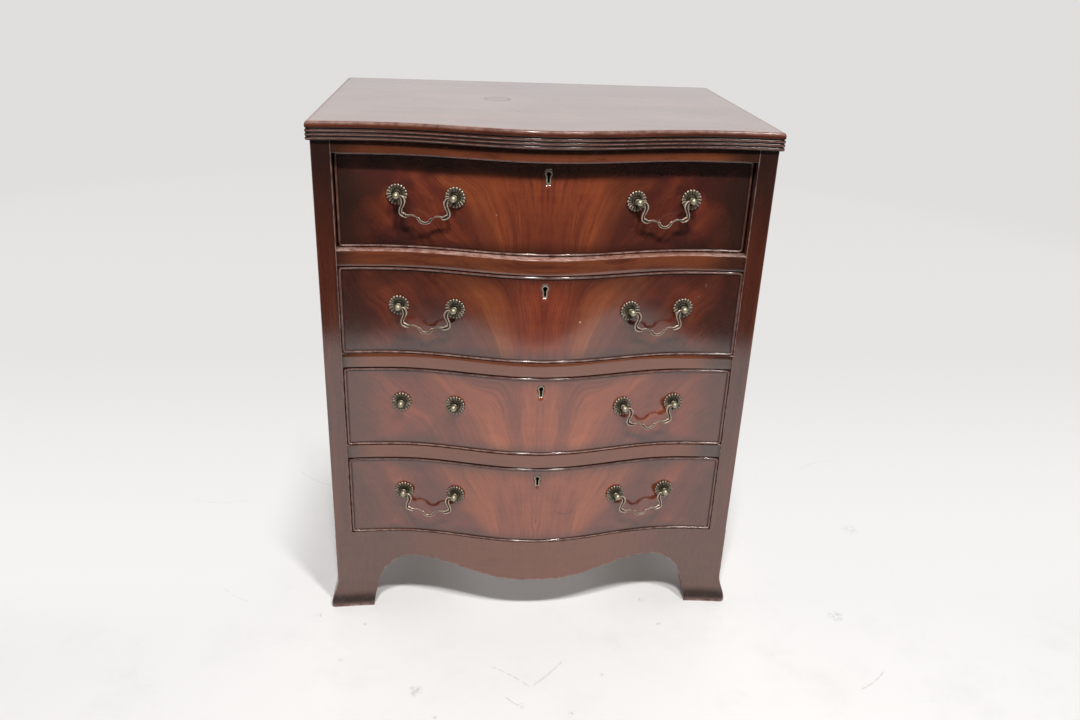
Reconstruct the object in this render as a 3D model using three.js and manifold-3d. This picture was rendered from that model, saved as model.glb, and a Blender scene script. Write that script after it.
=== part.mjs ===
// A small mahogany chest of four drawers with a serpentine front and swan-neck brass handles.
// Millimetres. +X is to the right of someone facing the chest, +Z is up, the front faces -Y.
// Depths are measured from the hollow line of the front, the deepest line of its curve.
import * as THREE from 'three';
import Module from 'manifold-3d';
import { mergeVertices } from 'three/addons/utils/BufferGeometryUtils.js';

const wasm = await Module();
wasm.setup();

// Case: 24 inches wide and built of boards, from the base up to the top.
const CASE_WIDTH = 610;
const CASE_BACK = 433;
const SIDE_THICKNESS = 25.4;
const BASE_HEIGHT = 138;
const DRAWER_OPENINGS = [130, 128.5, 125.5, 131];
const DIVIDER_THICKNESS = 21.5;
const TOP_RAIL_THICKNESS = 16.5;
const TOP_RAIL_DEPTH = 62;
const BACK_THICKNESS = 8;
const BACK_BELOW_BOTTOM = 2;
const BOTTOM_THICKNESS = 16;
const HOUSING_DEPTH = 6;
const HOUSING_STOP = 18;
const WOOD_GAP = 0.1;
const CUT_OVERRUN = 5;

// Serpentine: a bowed middle, a hollow on each side of it, and ends that come forward again.
const BOW_DEPTH = 33.5;
const EAR_DEPTH = 5.4;
const HOLLOW_SHARE = 0.7;
const CURVE_STEPS = 22;

// Top board: a rounded nosing over three reeds on the front and both ends, a plain back edge.
const TOP_OVERHANG = 5;
const TOP_BACK_OVERHANG = 2;
const TOP_CORNER_RADIUS = 6;
const CORNER_STEPS = 2;
const REED_COUNT = 3;
const REED_PITCH = 4.9;
const REED_DEPTH = 1.8;
const REED_SHOULDER = 1.2;
const REED_FLAT_INSET = 0.25;
const NOSING_HEIGHT = 9.3;
const NOSING_INSET = 3.4;
const NOSING_HEIGHT_SHARES = [0, 0.09, 0.32, 0.7, 0.91, 1];
const NOSING_INSET_SHARES = [0.53, 0.12, 0, 0.06, 0.47, 1];

// Base: apron and bracket feet, cut from boards that stand flush under the case.
const BASE_THICKNESS = 20;
const BASE_FRONT_WEB = 16;
const APRON_LOW = 67;
const APRON_FLAT = 30;
const ARCH_TOP = 92.5;
const ARCH_CREST = 188;
const FOOT_WIDTH = 60.5;
const FOOT_STRAIGHT = 30;
const FOOT_LEAN = 1.5;
const TOE_HEIGHT = 52;
const TOE_SIDE_SWEEP = 12.5;
const TOE_FRONT_SWEEP = 5;
const TOE_INNER_SHARE = 0.48;
const TOE_CORNER = 7;
const TOE_LEVEL_SHARES = [0, 0.25, 0.5, 0.75, 1];
const TOE_CORNER_SHARES = [0, 0.7, 1];
const SIDE_ARCH_RUN = 55;
const FLAT_STEPS = 2;
const APRON_STEPS = 7;
const ARCH_STEPS = 5;

// Drawers: lined boxes behind a serpentine front with a cock bead round it.
const DRAWER_CLEARANCE = 1.2;
const FRONT_UNDERCUT = 0.3;
const DRAWER_RUNNING_GAP = 0.3;
const FRONT_THICKNESS = 18;
const FRONT_SETBACK = 0.5;
const BEAD_WIDTH = 3.2;
const BEAD_PROUD = 1.8;
const BEAD_ROUND = 1;
const BEAD_EDGE_SHARE = 0.45;
const LINING_THICKNESS = 11;
const LINING_TOP_DROP = 12;
const LINING_BACK_THICKNESS = 9;
const LINING_BACK_DROP = 6;
const PANEL_THICKNESS = 5;
const PANEL_HEIGHT = 9;
const PANEL_GROOVE = 4.5;
const TOP_DRAWER_RECESS = 16;
const STOP_WIDTH = 34;
const STOP_DEPTH = 12;
const STOP_HEIGHT = 6;
const STOP_ROOT = 1;

// Keyhole escutcheon: a keyhole-shaped brass liner let into the drawer front.
const KEYHOLE_DROP = 22;
const KEYHOLE_FIELD = 8;
const LINER_RADIUS = 4.85;
const LINER_HEIGHT = 17.6;
const LINER_TAIL_WIDTH = 6.6;
const LINER_WALL = 1.9;
const LINER_DEPTH = 5.5;
const LINER_PROUD = 0.5;
const LINER_GAP = 0.3;
const LINER_ARC_STEPS = 7;

// Handles: two scalloped rosettes, each with a post and ball, and a bail pinned between the balls.
const HANDLE_CENTRE = 159.7;
const ROSETTE_SPACING = 77.8;
const HANDLE_RISE = 9.4;
const ROSETTE_GAP = 0.6;
const ROSETTE_RADIUS = 14.2;
const ROSETTE_HEIGHT = 2.8;
const ROSETTE_SIDES = 16;
const SCALLOP_DEPTH = 0.9;
const BALL_PROJECTION = 12.2;
const BALL_RADIUS = 4.3;
const POST_RADIUS = 2.2;
const ROSETTE_RADIUS_SHARES = [0, 0.9, 1, 0.89, 0.66, 0.24];
const ROSETTE_HEIGHT_SHARES = [0, 0, 0.43, 1, 0.55, 0.55];
const SCALLOPED_RINGS = [2, 3];
const BALL_ANGLE_SHARES = [0.32, 0.62];
const PIN_RADIUS = 1.1;
const PIN_CLEARANCE = 0.3;
const PIN_LENGTH = 3.3;
const PIN_ROOT = 0.8;
const PIN_SIDES = 6;
const BAIL_DROP = 35.8;
const BAIL_THICKNESS = 2.6;
const BAIL_BALL_GAP = 0.4;
const BAIL_INNER_SHARES = [
  [0.805, 0.045], [0.74, 0.014], [0.675, -0.08], [0.656, -0.17], [0.675, -0.26], [0.72, -0.36],
  [0.775, -0.47], [0.78, -0.59], [0.72, -0.615], [0.63, -0.66], [0.46, -0.65], [0.38, -0.67],
  [0.29, -0.74], [0.135, -0.76], [0.1, -0.82], [0.03, -0.872],
];
const BAIL_OUTER_SHARES = [
  [0.04, -1], [0.115, -0.985], [0.19, -0.93], [0.25, -0.85], [0.275, -0.8], [0.34, -0.76],
  [0.43, -0.728], [0.56, -0.746], [0.61, -0.78], [0.675, -0.795], [0.79, -0.768], [0.87, -0.71],
  [0.905, -0.64], [0.91, -0.545], [0.89, -0.44], [0.845, -0.33], [0.82, -0.22], [0.832, -0.12],
];

// Finishes, one for each kind of piece.
const finish = (color, roughness, metalness) => new THREE.MeshStandardMaterial({
  color, roughness, metalness, flatShading: true,
});
const SHOW_WOOD = finish(0x5a2717, 0.35, 0);
const FRONT_VENEER = finish(0x6b2f1a, 0.3, 0);
const LINING_WOOD = finish(0x9a7350, 0.6, 0);
const BACK_WOOD = finish(0x7d5a3c, 0.7, 0);
const BRASS = finish(0x8a7340, 0.4, 1);

// Levels and planes that several pieces share.
const HALF_CASE = CASE_WIDTH / 2;
const INNER_HALF = HALF_CASE - SIDE_THICKNESS;
const HOLLOW_X = HALF_CASE * HOLLOW_SHARE;
const BACK_FACE = CASE_BACK - BACK_THICKNESS;
const openingFloors = [];
let level = BASE_HEIGHT;
for (const height of [...DRAWER_OPENINGS].reverse()) {
  openingFloors.unshift(level);
  level += height + DIVIDER_THICKNESS;
}
const RAIL_FLOOR = level - DIVIDER_THICKNESS;
const CASE_TOP = RAIL_FLOOR + TOP_RAIL_THICKNESS;
const TOP_THICKNESS = REED_COUNT * REED_PITCH + NOSING_HEIGHT;
const TOP_BACK = CASE_BACK + TOP_BACK_OVERHANG;
const FRONT_LIMIT = -BOW_DEPTH - TOP_OVERHANG;
const MIDDLE_DEPTH = (FRONT_LIMIT + TOP_BACK) / 2;

// How far the front curve stands forward of its hollow line, and how fast that changes.
function bow(x) {
  const across = Math.abs(x);
  if (across < HOLLOW_X) return BOW_DEPTH * (1 + Math.cos(Math.PI * across / HOLLOW_X)) / 2;
  return EAR_DEPTH * ((across - HOLLOW_X) / (HALF_CASE - HOLLOW_X)) ** 2;
}

function bowSlope(x) {
  const across = Math.abs(x);
  const sign = Math.sign(x);
  const pace = Math.PI / HOLLOW_X;
  if (across < HOLLOW_X) return -sign * BOW_DEPTH * pace * Math.sin(pace * across) / 2;
  return sign * 2 * EAR_DEPTH * (across - HOLLOW_X) / (HALF_CASE - HOLLOW_X) ** 2;
}

// Evenly spaced values, both ends included.
function spread(from, to, steps) {
  return Array.from({ length: steps + 1 }, (_, i) => from + (to - from) * i / steps);
}

// One closed geometry from points and triangles, with shared corners.
function geometryOf(points, faces) {
  const geometry = new THREE.BufferGeometry();
  geometry.setAttribute('position', new THREE.Float32BufferAttribute(points.flat(), 3));
  geometry.setIndex(faces.flat());
  return geometry;
}

// The same geometry with its shared vertices merged and its flat triangles left out.
function welded(geometry) {
  const plain = geometry.clone();
  plain.deleteAttribute('normal');
  plain.deleteAttribute('uv');
  const merged = mergeVertices(plain);
  const index = merged.getIndex().array;
  const kept = [];
  for (let i = 0; i < index.length; i += 3) {
    const corners = [index[i], index[i + 1], index[i + 2]];
    if (new Set(corners).size === corners.length) kept.push(...corners);
  }
  merged.setIndex(kept);
  return merged;
}

function solidOf(geometry) {
  const merged = welded(geometry);
  return new wasm.Manifold(new wasm.Mesh({
    numProp: 3,
    vertProperties: new Float32Array(merged.getAttribute('position').array),
    triVerts: new Uint32Array(merged.getIndex().array),
  }));
}

function geometryFrom(solid) {
  const { vertProperties, triVerts } = solid.getMesh();
  const geometry = new THREE.BufferGeometry();
  geometry.setAttribute('position', new THREE.BufferAttribute(vertProperties, 3));
  geometry.setIndex(new THREE.BufferAttribute(triVerts, 1));
  return geometry;
}

const cut = (geometry, tools) => geometryFrom(
  tools.reduce((solid, tool) => solid.subtract(solidOf(tool)), solidOf(geometry)),
);
const joined = (geometry, others) => geometryFrom(
  others.reduce((solid, other) => solid.add(solidOf(other)), solidOf(geometry)),
);

// A geometry mirrored from right to left, its triangles turned to face out again.
function mirrored(geometry) {
  const copy = welded(geometry);
  copy.scale(-1, 1, 1);
  const index = copy.getIndex().array;
  for (let i = 0; i < index.length; i += 3) [index[i], index[i + 1]] = [index[i + 1], index[i]];
  return copy;
}

// A box from its lowest to its highest corner.
function block(low, high) {
  const size = high.map((value, i) => value - low[i]);
  const geometry = new THREE.BoxGeometry(...size);
  return geometry.translate(...low.map((value, i) => value + size[i] / 2));
}

// A board cut to a plan outline and standing between two levels.
function board(outline, low, high) {
  const shape = new THREE.Shape(outline.map(([x, y]) => new THREE.Vector2(x, y)));
  const geometry = new THREE.ExtrudeGeometry(shape, { depth: high - low, bevelEnabled: false });
  return geometry.translate(0, 0, low);
}

// A board whose outline lies in the end view, drawn out along its depth.
function drawnBoard(outline, near, far) {
  const shape = new THREE.Shape(outline.map(([x, z]) => new THREE.Vector2(x, z)));
  const geometry = new THREE.ExtrudeGeometry(shape, { depth: far - near, bevelEnabled: false });
  return geometry.rotateX(Math.PI / 2).translate(0, far, 0);
}

// Triangles between two chains of points that start and end side by side.
function zipped(left, right) {
  const faces = [];
  let i = 0;
  let j = 0;
  while (i < left.length - 1 || j < right.length - 1) {
    const leftNext = (i + 1) / (left.length - 1);
    const rightNext = (j + 1) / (right.length - 1);
    if (j === right.length - 1 || (i < left.length - 1 && leftNext <= rightNext)) {
      faces.push([left[i], left[i + 1], right[j]]);
      i += 1;
    } else {
      faces.push([left[i], right[j + 1], right[j]]);
      j += 1;
    }
  }
  return faces;
}

// A bent slab: an outer and an inner grid over the same columns, closed round the edges.
// Columns run so that column direction times row direction points inwards on the outer grid.
function bentSlab(columns, outerRows, innerRows, outerPoint, innerPoint) {
  const points = [];
  const faces = [];
  const grid = (rows, pointAt) => columns.map((column) => rows.map((row) => {
    points.push(pointAt(column, row));
    return points.length - 1;
  }));
  const outer = grid(outerRows, outerPoint);
  const inner = grid(innerRows, innerPoint);
  for (let c = 0; c < columns.length - 1; c += 1) {
    faces.push(...zipped(outer[c], outer[c + 1]).map(([a, b, d]) => [a, d, b]));
    faces.push(...zipped(inner[c], inner[c + 1]));
    const top = outerRows.length - 1;
    const innerTop = innerRows.length - 1;
    faces.push([outer[c][0], inner[c][0], inner[c + 1][0]]);
    faces.push([outer[c][0], inner[c + 1][0], outer[c + 1][0]]);
    faces.push([outer[c][top], outer[c + 1][top], inner[c + 1][innerTop]]);
    faces.push([outer[c][top], inner[c + 1][innerTop], inner[c][innerTop]]);
  }
  const last = columns.length - 1;
  faces.push(...zipped(outer[0], inner[0]));
  faces.push(...zipped(outer[last], inner[last]).map(([a, b, d]) => [a, d, b]));
  return geometryOf(points, faces);
}

// A stack of outlines of equal length, closed by a flat cap below and above.
function loft(rings) {
  const points = rings.flat();
  const count = rings[0].length;
  const faces = [];
  for (let r = 0; r < rings.length - 1; r += 1) {
    for (let i = 0; i < count; i += 1) {
      const next = (i + 1) % count;
      const [a, b] = [r * count + i, r * count + next];
      faces.push([a, b, b + count], [a, b + count, a + count]);
    }
  }
  const flat = (ring) => ring.map(([x, y]) => new THREE.Vector2(x, y));
  const lastRing = (rings.length - 1) * count;
  for (const [a, b, c] of THREE.ShapeUtils.triangulateShape(flat(rings[0]), [])) {
    faces.push([a, c, b]);
  }
  for (const [a, b, c] of THREE.ShapeUtils.triangulateShape(flat(rings.at(-1)), [])) {
    faces.push([a + lastRing, b + lastRing, c + lastRing]);
  }
  return geometryOf(points, faces);
}

// A named piece at its place in its group.
function place(group, name, geometry, material, position = [0, 0, 0], turn = 0) {
  const mesh = new THREE.Mesh(geometry, material);
  mesh.name = name;
  mesh.position.set(...position);
  mesh.rotation.z = turn;
  group.add(mesh);
}

// The front curve as plan points between two places, moved back by an inset.
function frontCurve(half, inset) {
  return spread(-half, half, CURVE_STEPS).map((x) => [x, inset - bow(x)]);
}

// Top board: the outline at each level of the edge, drawn in by the moulding's inset there.
function topBoard() {
  const half = HALF_CASE + TOP_OVERHANG;
  const outline = (inset, z) => {
    const reach = half - inset;
    const front = spread(-1, 1, CURVE_STEPS).map((share) => (
      [share * reach, inset - TOP_OVERHANG - bow(share * HALF_CASE), z]));
    const corner = spread(0, Math.PI / 2, CORNER_STEPS).map((angle) => [
      reach - TOP_CORNER_RADIUS * (1 - Math.cos(angle)),
      TOP_BACK - TOP_CORNER_RADIUS * (1 - Math.sin(angle)),
      z,
    ]);
    const otherCorner = corner.map(([x, y]) => [-x, y, z]).reverse();
    return [...front, ...corner, ...otherCorner];
  };
  const rings = [];
  for (let reed = 0; reed < REED_COUNT; reed += 1) {
    const low = CASE_TOP + reed * REED_PITCH;
    rings.push(outline(REED_DEPTH, low));
    rings.push(outline(REED_FLAT_INSET, low + REED_SHOULDER));
    rings.push(outline(REED_FLAT_INSET, low + REED_PITCH - REED_SHOULDER));
  }
  const nosing = CASE_TOP + REED_COUNT * REED_PITCH;
  NOSING_HEIGHT_SHARES.forEach((share, i) => {
    rings.push(outline(NOSING_INSET * NOSING_INSET_SHARES[i], nosing + NOSING_HEIGHT * share));
  });
  return loft(rings);
}

// Solid end of the case, its front edge following the curve, housed for the dividers.
function caseSide() {
  const outline = [
    [INNER_HALF, -bow(INNER_HALF)], [HALF_CASE, -bow(HALF_CASE)],
    [HALF_CASE, CASE_BACK], [INNER_HALF, CASE_BACK],
  ];
  const housings = openingFloors.slice(0, -1).map((floor) => block(
    [INNER_HALF - CUT_OVERRUN, HOUSING_STOP - WOOD_GAP, floor - DIVIDER_THICKNESS - WOOD_GAP],
    [INNER_HALF + HOUSING_DEPTH, BACK_FACE, floor + WOOD_GAP],
  ));
  return cut(board(outline, BASE_HEIGHT, CASE_TOP - WOOD_GAP), housings);
}

// Blocks that stop a drawer front flush, standing on the board below it at the hollow lines.
function stopBlocks(floor) {
  const near = FRONT_SETBACK + FRONT_THICKNESS + DRAWER_RUNNING_GAP;
  return [-HOLLOW_X, HOLLOW_X].map((x) => block(
    [x - STOP_WIDTH / 2, near, floor - STOP_ROOT],
    [x + STOP_WIDTH / 2, near + STOP_DEPTH, floor + STOP_HEIGHT],
  ));
}

// Divider between two drawers: full-depth board with shoulders behind its curved front edge.
function divider(floor, stopped) {
  const housed = INNER_HALF + HOUSING_DEPTH - WOOD_GAP;
  const outline = [
    ...frontCurve(INNER_HALF, 0),
    [INNER_HALF, HOUSING_STOP], [housed, HOUSING_STOP], [housed, BACK_FACE - WOOD_GAP],
    [-housed, BACK_FACE - WOOD_GAP], [-housed, HOUSING_STOP], [-INNER_HALF, HOUSING_STOP],
  ];
  const panel = board(outline, floor - DIVIDER_THICKNESS, floor);
  return stopped ? joined(panel, stopBlocks(floor)) : panel;
}

function topRail() {
  const outline = [
    ...frontCurve(INNER_HALF, 0), [INNER_HALF, TOP_RAIL_DEPTH], [-INNER_HALF, TOP_RAIL_DEPTH],
  ];
  return board(outline, RAIL_FLOOR, CASE_TOP - WOOD_GAP);
}

function backPanel() {
  const low = BASE_HEIGHT - BOTTOM_THICKNESS - BACK_BELOW_BOTTOM;
  const half = INNER_HALF - WOOD_GAP;
  return block([-half, BACK_FACE, low], [half, CASE_BACK, CASE_TOP - WOOD_GAP]);
}

// How far a toe has swept out at a height: nothing above the toe, all of it on the floor.
function toeShare(z) {
  if (z > TOE_HEIGHT) return 0;
  return (1 + Math.cos(Math.PI * z / TOE_HEIGHT)) / 2;
}

// Rows of a base board: close together over the toe, then one to the top edge.
const TOE_ROWS = [...TOE_LEVEL_SHARES.map((share) => share * TOE_HEIGHT / BASE_HEIGHT), 1];

// Quarter arch from a crest down to the straight inner edge of a foot, as across and height.
function archCurve(run) {
  const rise = ARCH_TOP - FOOT_STRAIGHT;
  const curve = spread(0, Math.PI / 2, ARCH_STEPS).map((angle) => (
    [run * Math.sin(angle), FOOT_STRAIGHT + rise * Math.cos(angle)]));
  return [...curve, [run + FOOT_LEAN, 0]];
}

// Lower edge of the apron from the middle out to the right corner, as across and height.
function apronEdge() {
  const inner = HALF_CASE - FOOT_WIDTH - FOOT_LEAN;
  const edge = spread(0, APRON_FLAT, FLAT_STEPS).slice(0, -1).map((across) => [across, APRON_LOW]);
  for (const share of spread(0, 1, APRON_STEPS).slice(0, -1)) {
    const lift = (1 - Math.cos(Math.PI * share)) / 2;
    const across = APRON_FLAT + (ARCH_CREST - APRON_FLAT) * share;
    edge.push([across, APRON_LOW + (ARCH_TOP - APRON_LOW) * lift]);
  }
  for (const [run, height] of archCurve(inner - ARCH_CREST)) {
    edge.push([ARCH_CREST + run, height]);
  }
  const corner = HALF_CASE - TOE_CORNER;
  edge.push([(HALF_CASE - FOOT_WIDTH + corner) / 2, 0]);
  for (const share of TOE_CORNER_SHARES) edge.push([corner + TOE_CORNER * share, 0]);
  return edge;
}

// The whole lower edge of the base front, from the left corner to the right one.
function baseColumns() {
  const right = apronEdge();
  const left = right.slice(1).reverse().map(([x, z]) => [-x, z]);
  return [...left, ...right];
}

// Back face of the base front: it follows the curve between the hollows and is flat beyond them.
function baseInnerDepth(x) {
  const across = Math.abs(x);
  return BASE_FRONT_WEB - (across < HOLLOW_X ? bow(across) : 0);
}

// Base front: apron and both front feet in one board, bent to the front curve.
function baseFront() {
  const inner = HALF_CASE - FOOT_WIDTH - FOOT_LEAN;
  const swept = ([x, low], row, depth) => {
    const z = low + (BASE_HEIGHT - low) * row;
    const across = Math.abs(x);
    const outward = Math.max(0, (across - inner) / (HALF_CASE - inner));
    const share = toeShare(z) * (TOE_INNER_SHARE + (1 - TOE_INNER_SHARE) * outward);
    return [x + Math.sign(x) * TOE_SIDE_SWEEP * share, depth(across, z), z];
  };
  const outerDepth = (across, z) => {
    const turn = Math.max(0, (across - HALF_CASE + TOE_CORNER) / TOE_CORNER);
    const rounding = TOE_CORNER * (1 - Math.sqrt(1 - Math.min(1, turn) ** 2));
    return toeShare(z) * (rounding - TOE_FRONT_SWEEP) - bow(across);
  };
  return bentSlab(
    baseColumns(), TOE_ROWS, TOE_ROWS,
    (column, row) => swept(column, row, outerDepth),
    (column, row) => swept(column, row, baseInnerDepth),
  );
}

// Bottom board, let in behind the apron and between the base boards.
function bottomBoard() {
  const half = HALF_CASE - BASE_THICKNESS - WOOD_GAP;
  const across = baseColumns().map(([x]) => x).filter((x) => Math.abs(x) < half);
  const outline = across.map((x) => [x, WOOD_GAP + baseInnerDepth(x)]);
  outline.push([half, BASE_FRONT_WEB + WOOD_GAP], [half, BACK_FACE - WOOD_GAP]);
  outline.push([-half, BACK_FACE - WOOD_GAP], [-half, BASE_FRONT_WEB + WOOD_GAP]);
  const panel = board(outline, BASE_HEIGHT - BOTTOM_THICKNESS, BASE_HEIGHT);
  return joined(panel, stopBlocks(BASE_HEIGHT));
}

// Right base board, with a front and a rear bracket foot and a straight lower edge between.
function baseSide() {
  const near = BASE_FRONT_WEB + WOOD_GAP;
  const archStart = near + FOOT_WIDTH - FOOT_LEAN;
  const archEnd = CASE_BACK - FOOT_WIDTH + FOOT_LEAN;
  const arch = archCurve(SIDE_ARCH_RUN);
  const frontFoot = arch.map(([run, z]) => [archStart + SIDE_ARCH_RUN - run, z]).reverse();
  const rearFoot = arch.map(([run, z]) => [archEnd - SIDE_ARCH_RUN + run, z]);
  const columns = [[near, 0], ...frontFoot, ...rearFoot, [CASE_BACK, 0]];
  const height = (low, row) => low + (BASE_HEIGHT - low) * row;
  const outer = ([y, low], row) => {
    const z = height(low, row);
    return [HALF_CASE + TOE_SIDE_SWEEP * toeShare(z), y, z];
  };
  const inner = ([y, low], row) => [HALF_CASE - BASE_THICKNESS, y, height(low, row)];
  return bentSlab(columns, TOE_ROWS, [0, 1], outer, inner);
}

// Height of the cock bead over the front's field, by distance from the nearest edge.
function beadAt(distance) {
  if (distance < BEAD_ROUND) {
    return BEAD_PROUD * (BEAD_EDGE_SHARE + (1 - BEAD_EDGE_SHARE) * distance / BEAD_ROUND);
  }
  const fall = Math.max(0, distance - BEAD_WIDTH + BEAD_ROUND) / BEAD_ROUND;
  return BEAD_PROUD * Math.max(0, 1 - fall);
}

// Keyhole outline: a round head over a straight tail, about the middle of its height.
function keyholePoints(radius, tailWidth, height) {
  const headCentre = height / 2 - radius;
  const shoulder = Math.asin(tailWidth / 2 / radius);
  const start = -Math.PI / 2 + shoulder;
  const arc = spread(start, start + 2 * (Math.PI - shoulder), LINER_ARC_STEPS);
  const head = arc.map((angle) => (
    [radius * Math.cos(angle), headCentre + radius * Math.sin(angle)]));
  return [...head, [-tailWidth / 2, -height / 2], [tailWidth / 2, -height / 2]];
}

function keyholePlug(grow, near, far) {
  const outline = keyholePoints(
    LINER_RADIUS + grow, LINER_TAIL_WIDTH + 2 * grow, LINER_HEIGHT + 2 * grow,
  );
  return drawnBoard(outline, near, far);
}

// Drawer front: bent to the curve, a cock bead round its edge, cut for the keyhole liner. Both its
// ends are planed a little under, so that they clear the case as the drawer goes in.
function drawerFront(height) {
  const half = INNER_HALF - DRAWER_CLEARANCE;
  const beadMarks = [0, BEAD_ROUND, BEAD_WIDTH - BEAD_ROUND, BEAD_WIDTH];
  const field = [
    ...spread(BEAD_WIDTH - half, half - BEAD_WIDTH, CURVE_STEPS).slice(1, -1),
    -KEYHOLE_FIELD, KEYHOLE_FIELD,
  ].sort((a, b) => a - b);
  const columns = [
    ...beadMarks.map((mark) => mark - half), ...field,
    ...beadMarks.map((mark) => half - mark).reverse(),
  ];
  const rows = [...beadMarks, ...beadMarks.map((mark) => height - mark).reverse()];
  const bead = (x, z) => Math.max(
    beadAt(half - Math.abs(x)), beadAt(Math.min(z, height - z)),
  );
  const slab = bentSlab(
    columns, rows, [0, height],
    (x, z) => [x, FRONT_SETBACK - bow(x) - bead(x, z), z],
    (x, z) => [x * (1 - FRONT_UNDERCUT / half), FRONT_SETBACK + FRONT_THICKNESS - bow(x), z],
  );
  const face = FRONT_SETBACK - BOW_DEPTH;
  const keyhole = keyholePlug(LINER_GAP, face - CUT_OVERRUN, face + LINER_DEPTH);
  return cut(slab, [keyhole.translate(0, 0, height + DRAWER_CLEARANCE - KEYHOLE_DROP)]);
}

// Keyhole liner: the brass rim that fills the cut in the front, with the key's own slot through it.
function keyholeLiner() {
  const face = FRONT_SETBACK - BOW_DEPTH;
  const near = face - LINER_PROUD;
  const far = face + LINER_DEPTH - LINER_GAP;
  const slot = keyholePlug(-LINER_WALL, near - CUT_OVERRUN, far + CUT_OVERRUN);
  return cut(keyholePlug(0, near, far), [slot]);
}

// Drawer side, grooved on its inner face for the bottom panel; it also carries the drawer's weight.
function drawerSide(height, near, far) {
  const outer = INNER_HALF - DRAWER_CLEARANCE;
  const inner = outer - LINING_THICKNESS;
  const grooveEnd = inner + PANEL_GROOVE + WOOD_GAP;
  const grooveTop = PANEL_HEIGHT + PANEL_THICKNESS + WOOD_GAP;
  const outline = [
    [inner, 0], [outer, 0], [outer, height], [inner, height], [inner, grooveTop],
    [grooveEnd, grooveTop], [grooveEnd, PANEL_HEIGHT - WOOD_GAP], [inner, PANEL_HEIGHT - WOOD_GAP],
  ];
  return drawnBoard(outline, near, far);
}

// Bottom panel, in the side grooves and cut to the inner curve of the front.
function drawerPanel(far) {
  const half = INNER_HALF - DRAWER_CLEARANCE - LINING_THICKNESS;
  const inset = FRONT_SETBACK + FRONT_THICKNESS + DRAWER_RUNNING_GAP;
  const outline = [
    ...frontCurve(half - WOOD_GAP, inset), [half - WOOD_GAP, inset + LINING_THICKNESS],
    [half + PANEL_GROOVE, inset + LINING_THICKNESS], [half + PANEL_GROOVE, far],
    [-half - PANEL_GROOVE, far], [-half - PANEL_GROOVE, inset + LINING_THICKNESS],
    [WOOD_GAP - half, inset + LINING_THICKNESS],
  ];
  return board(outline, PANEL_HEIGHT, PANEL_HEIGHT + PANEL_THICKNESS);
}

// Where a rosette sits on the front at one place across it, and where that puts its ball.
function rosetteSeat(x) {
  const turn = Math.atan(-bowSlope(x));
  const out = [Math.sin(turn), -Math.cos(turn)];
  const foot = [x + out[0] * ROSETTE_GAP, FRONT_SETBACK - bow(x) + out[1] * ROSETTE_GAP];
  const ball = foot.map((value, i) => value + out[i] * BALL_PROJECTION);
  return { turn, foot, ball };
}

// A handle: its two seats, from left to right, and the line between the two balls.
function handleAt(centre) {
  const seats = [-1, 1].map((side) => rosetteSeat(centre + side * ROSETTE_SPACING / 2));
  const [left, right] = seats.map((seat) => seat.ball);
  const along = [right[0] - left[0], right[1] - left[1]];
  return {
    seats,
    middle: [(left[0] + right[0]) / 2, (left[1] + right[1]) / 2],
    turn: Math.atan2(along[1], along[0]),
    halfSpan: Math.hypot(...along) / 2,
  };
}

// A pin-sized rod along X between two places.
function rod(radius, from, to) {
  const geometry = new THREE.CylinderGeometry(radius, radius, to - from, PIN_SIDES);
  return geometry.rotateZ(Math.PI / 2).translate((from + to) / 2, 0, 0);
}

// Rosette, post and ball in one casting; the ball is bored on the side that faces its partner.
function rosette(boreTurn) {
  const profile = ROSETTE_RADIUS_SHARES.map((share, i) => new THREE.Vector2(
    share * ROSETTE_RADIUS, ROSETTE_HEIGHT_SHARES[i] * ROSETTE_HEIGHT,
  ));
  const neck = BALL_PROJECTION - Math.sqrt(BALL_RADIUS ** 2 - POST_RADIUS ** 2);
  profile.push(new THREE.Vector2(POST_RADIUS, ROSETTE_HEIGHT), new THREE.Vector2(POST_RADIUS, neck));
  for (const share of [-BALL_ANGLE_SHARES[0], BALL_ANGLE_SHARES[0], BALL_ANGLE_SHARES[1]]) {
    const angle = share * Math.PI / 2;
    profile.push(new THREE.Vector2(
      BALL_RADIUS * Math.cos(angle), BALL_PROJECTION + BALL_RADIUS * Math.sin(angle),
    ));
  }
  profile.push(new THREE.Vector2(0, BALL_PROJECTION + BALL_RADIUS));
  const geometry = new THREE.LatheGeometry(profile, ROSETTE_SIDES);
  const position = geometry.getAttribute('position');
  for (let i = 0; i < position.count; i += 1) {
    const ring = i % profile.length;
    const column = Math.floor(i / profile.length);
    if (SCALLOPED_RINGS.includes(ring) && column % 2 === 1) {
      const share = 1 - SCALLOP_DEPTH / profile[ring].x;
      position.setX(i, position.getX(i) * share);
      position.setZ(i, position.getZ(i) * share);
    }
  }
  geometry.rotateX(Math.PI);
  const depth = PIN_LENGTH + PIN_CLEARANCE - PIN_ROOT + BAIL_BALL_GAP;
  const bore = rod(PIN_RADIUS + PIN_CLEARANCE, BALL_RADIUS - depth, BALL_RADIUS + CUT_OVERRUN);
  bore.rotateZ(boreTurn).translate(0, -BALL_PROJECTION, 0);
  return cut(geometry, [bore]);
}

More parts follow.
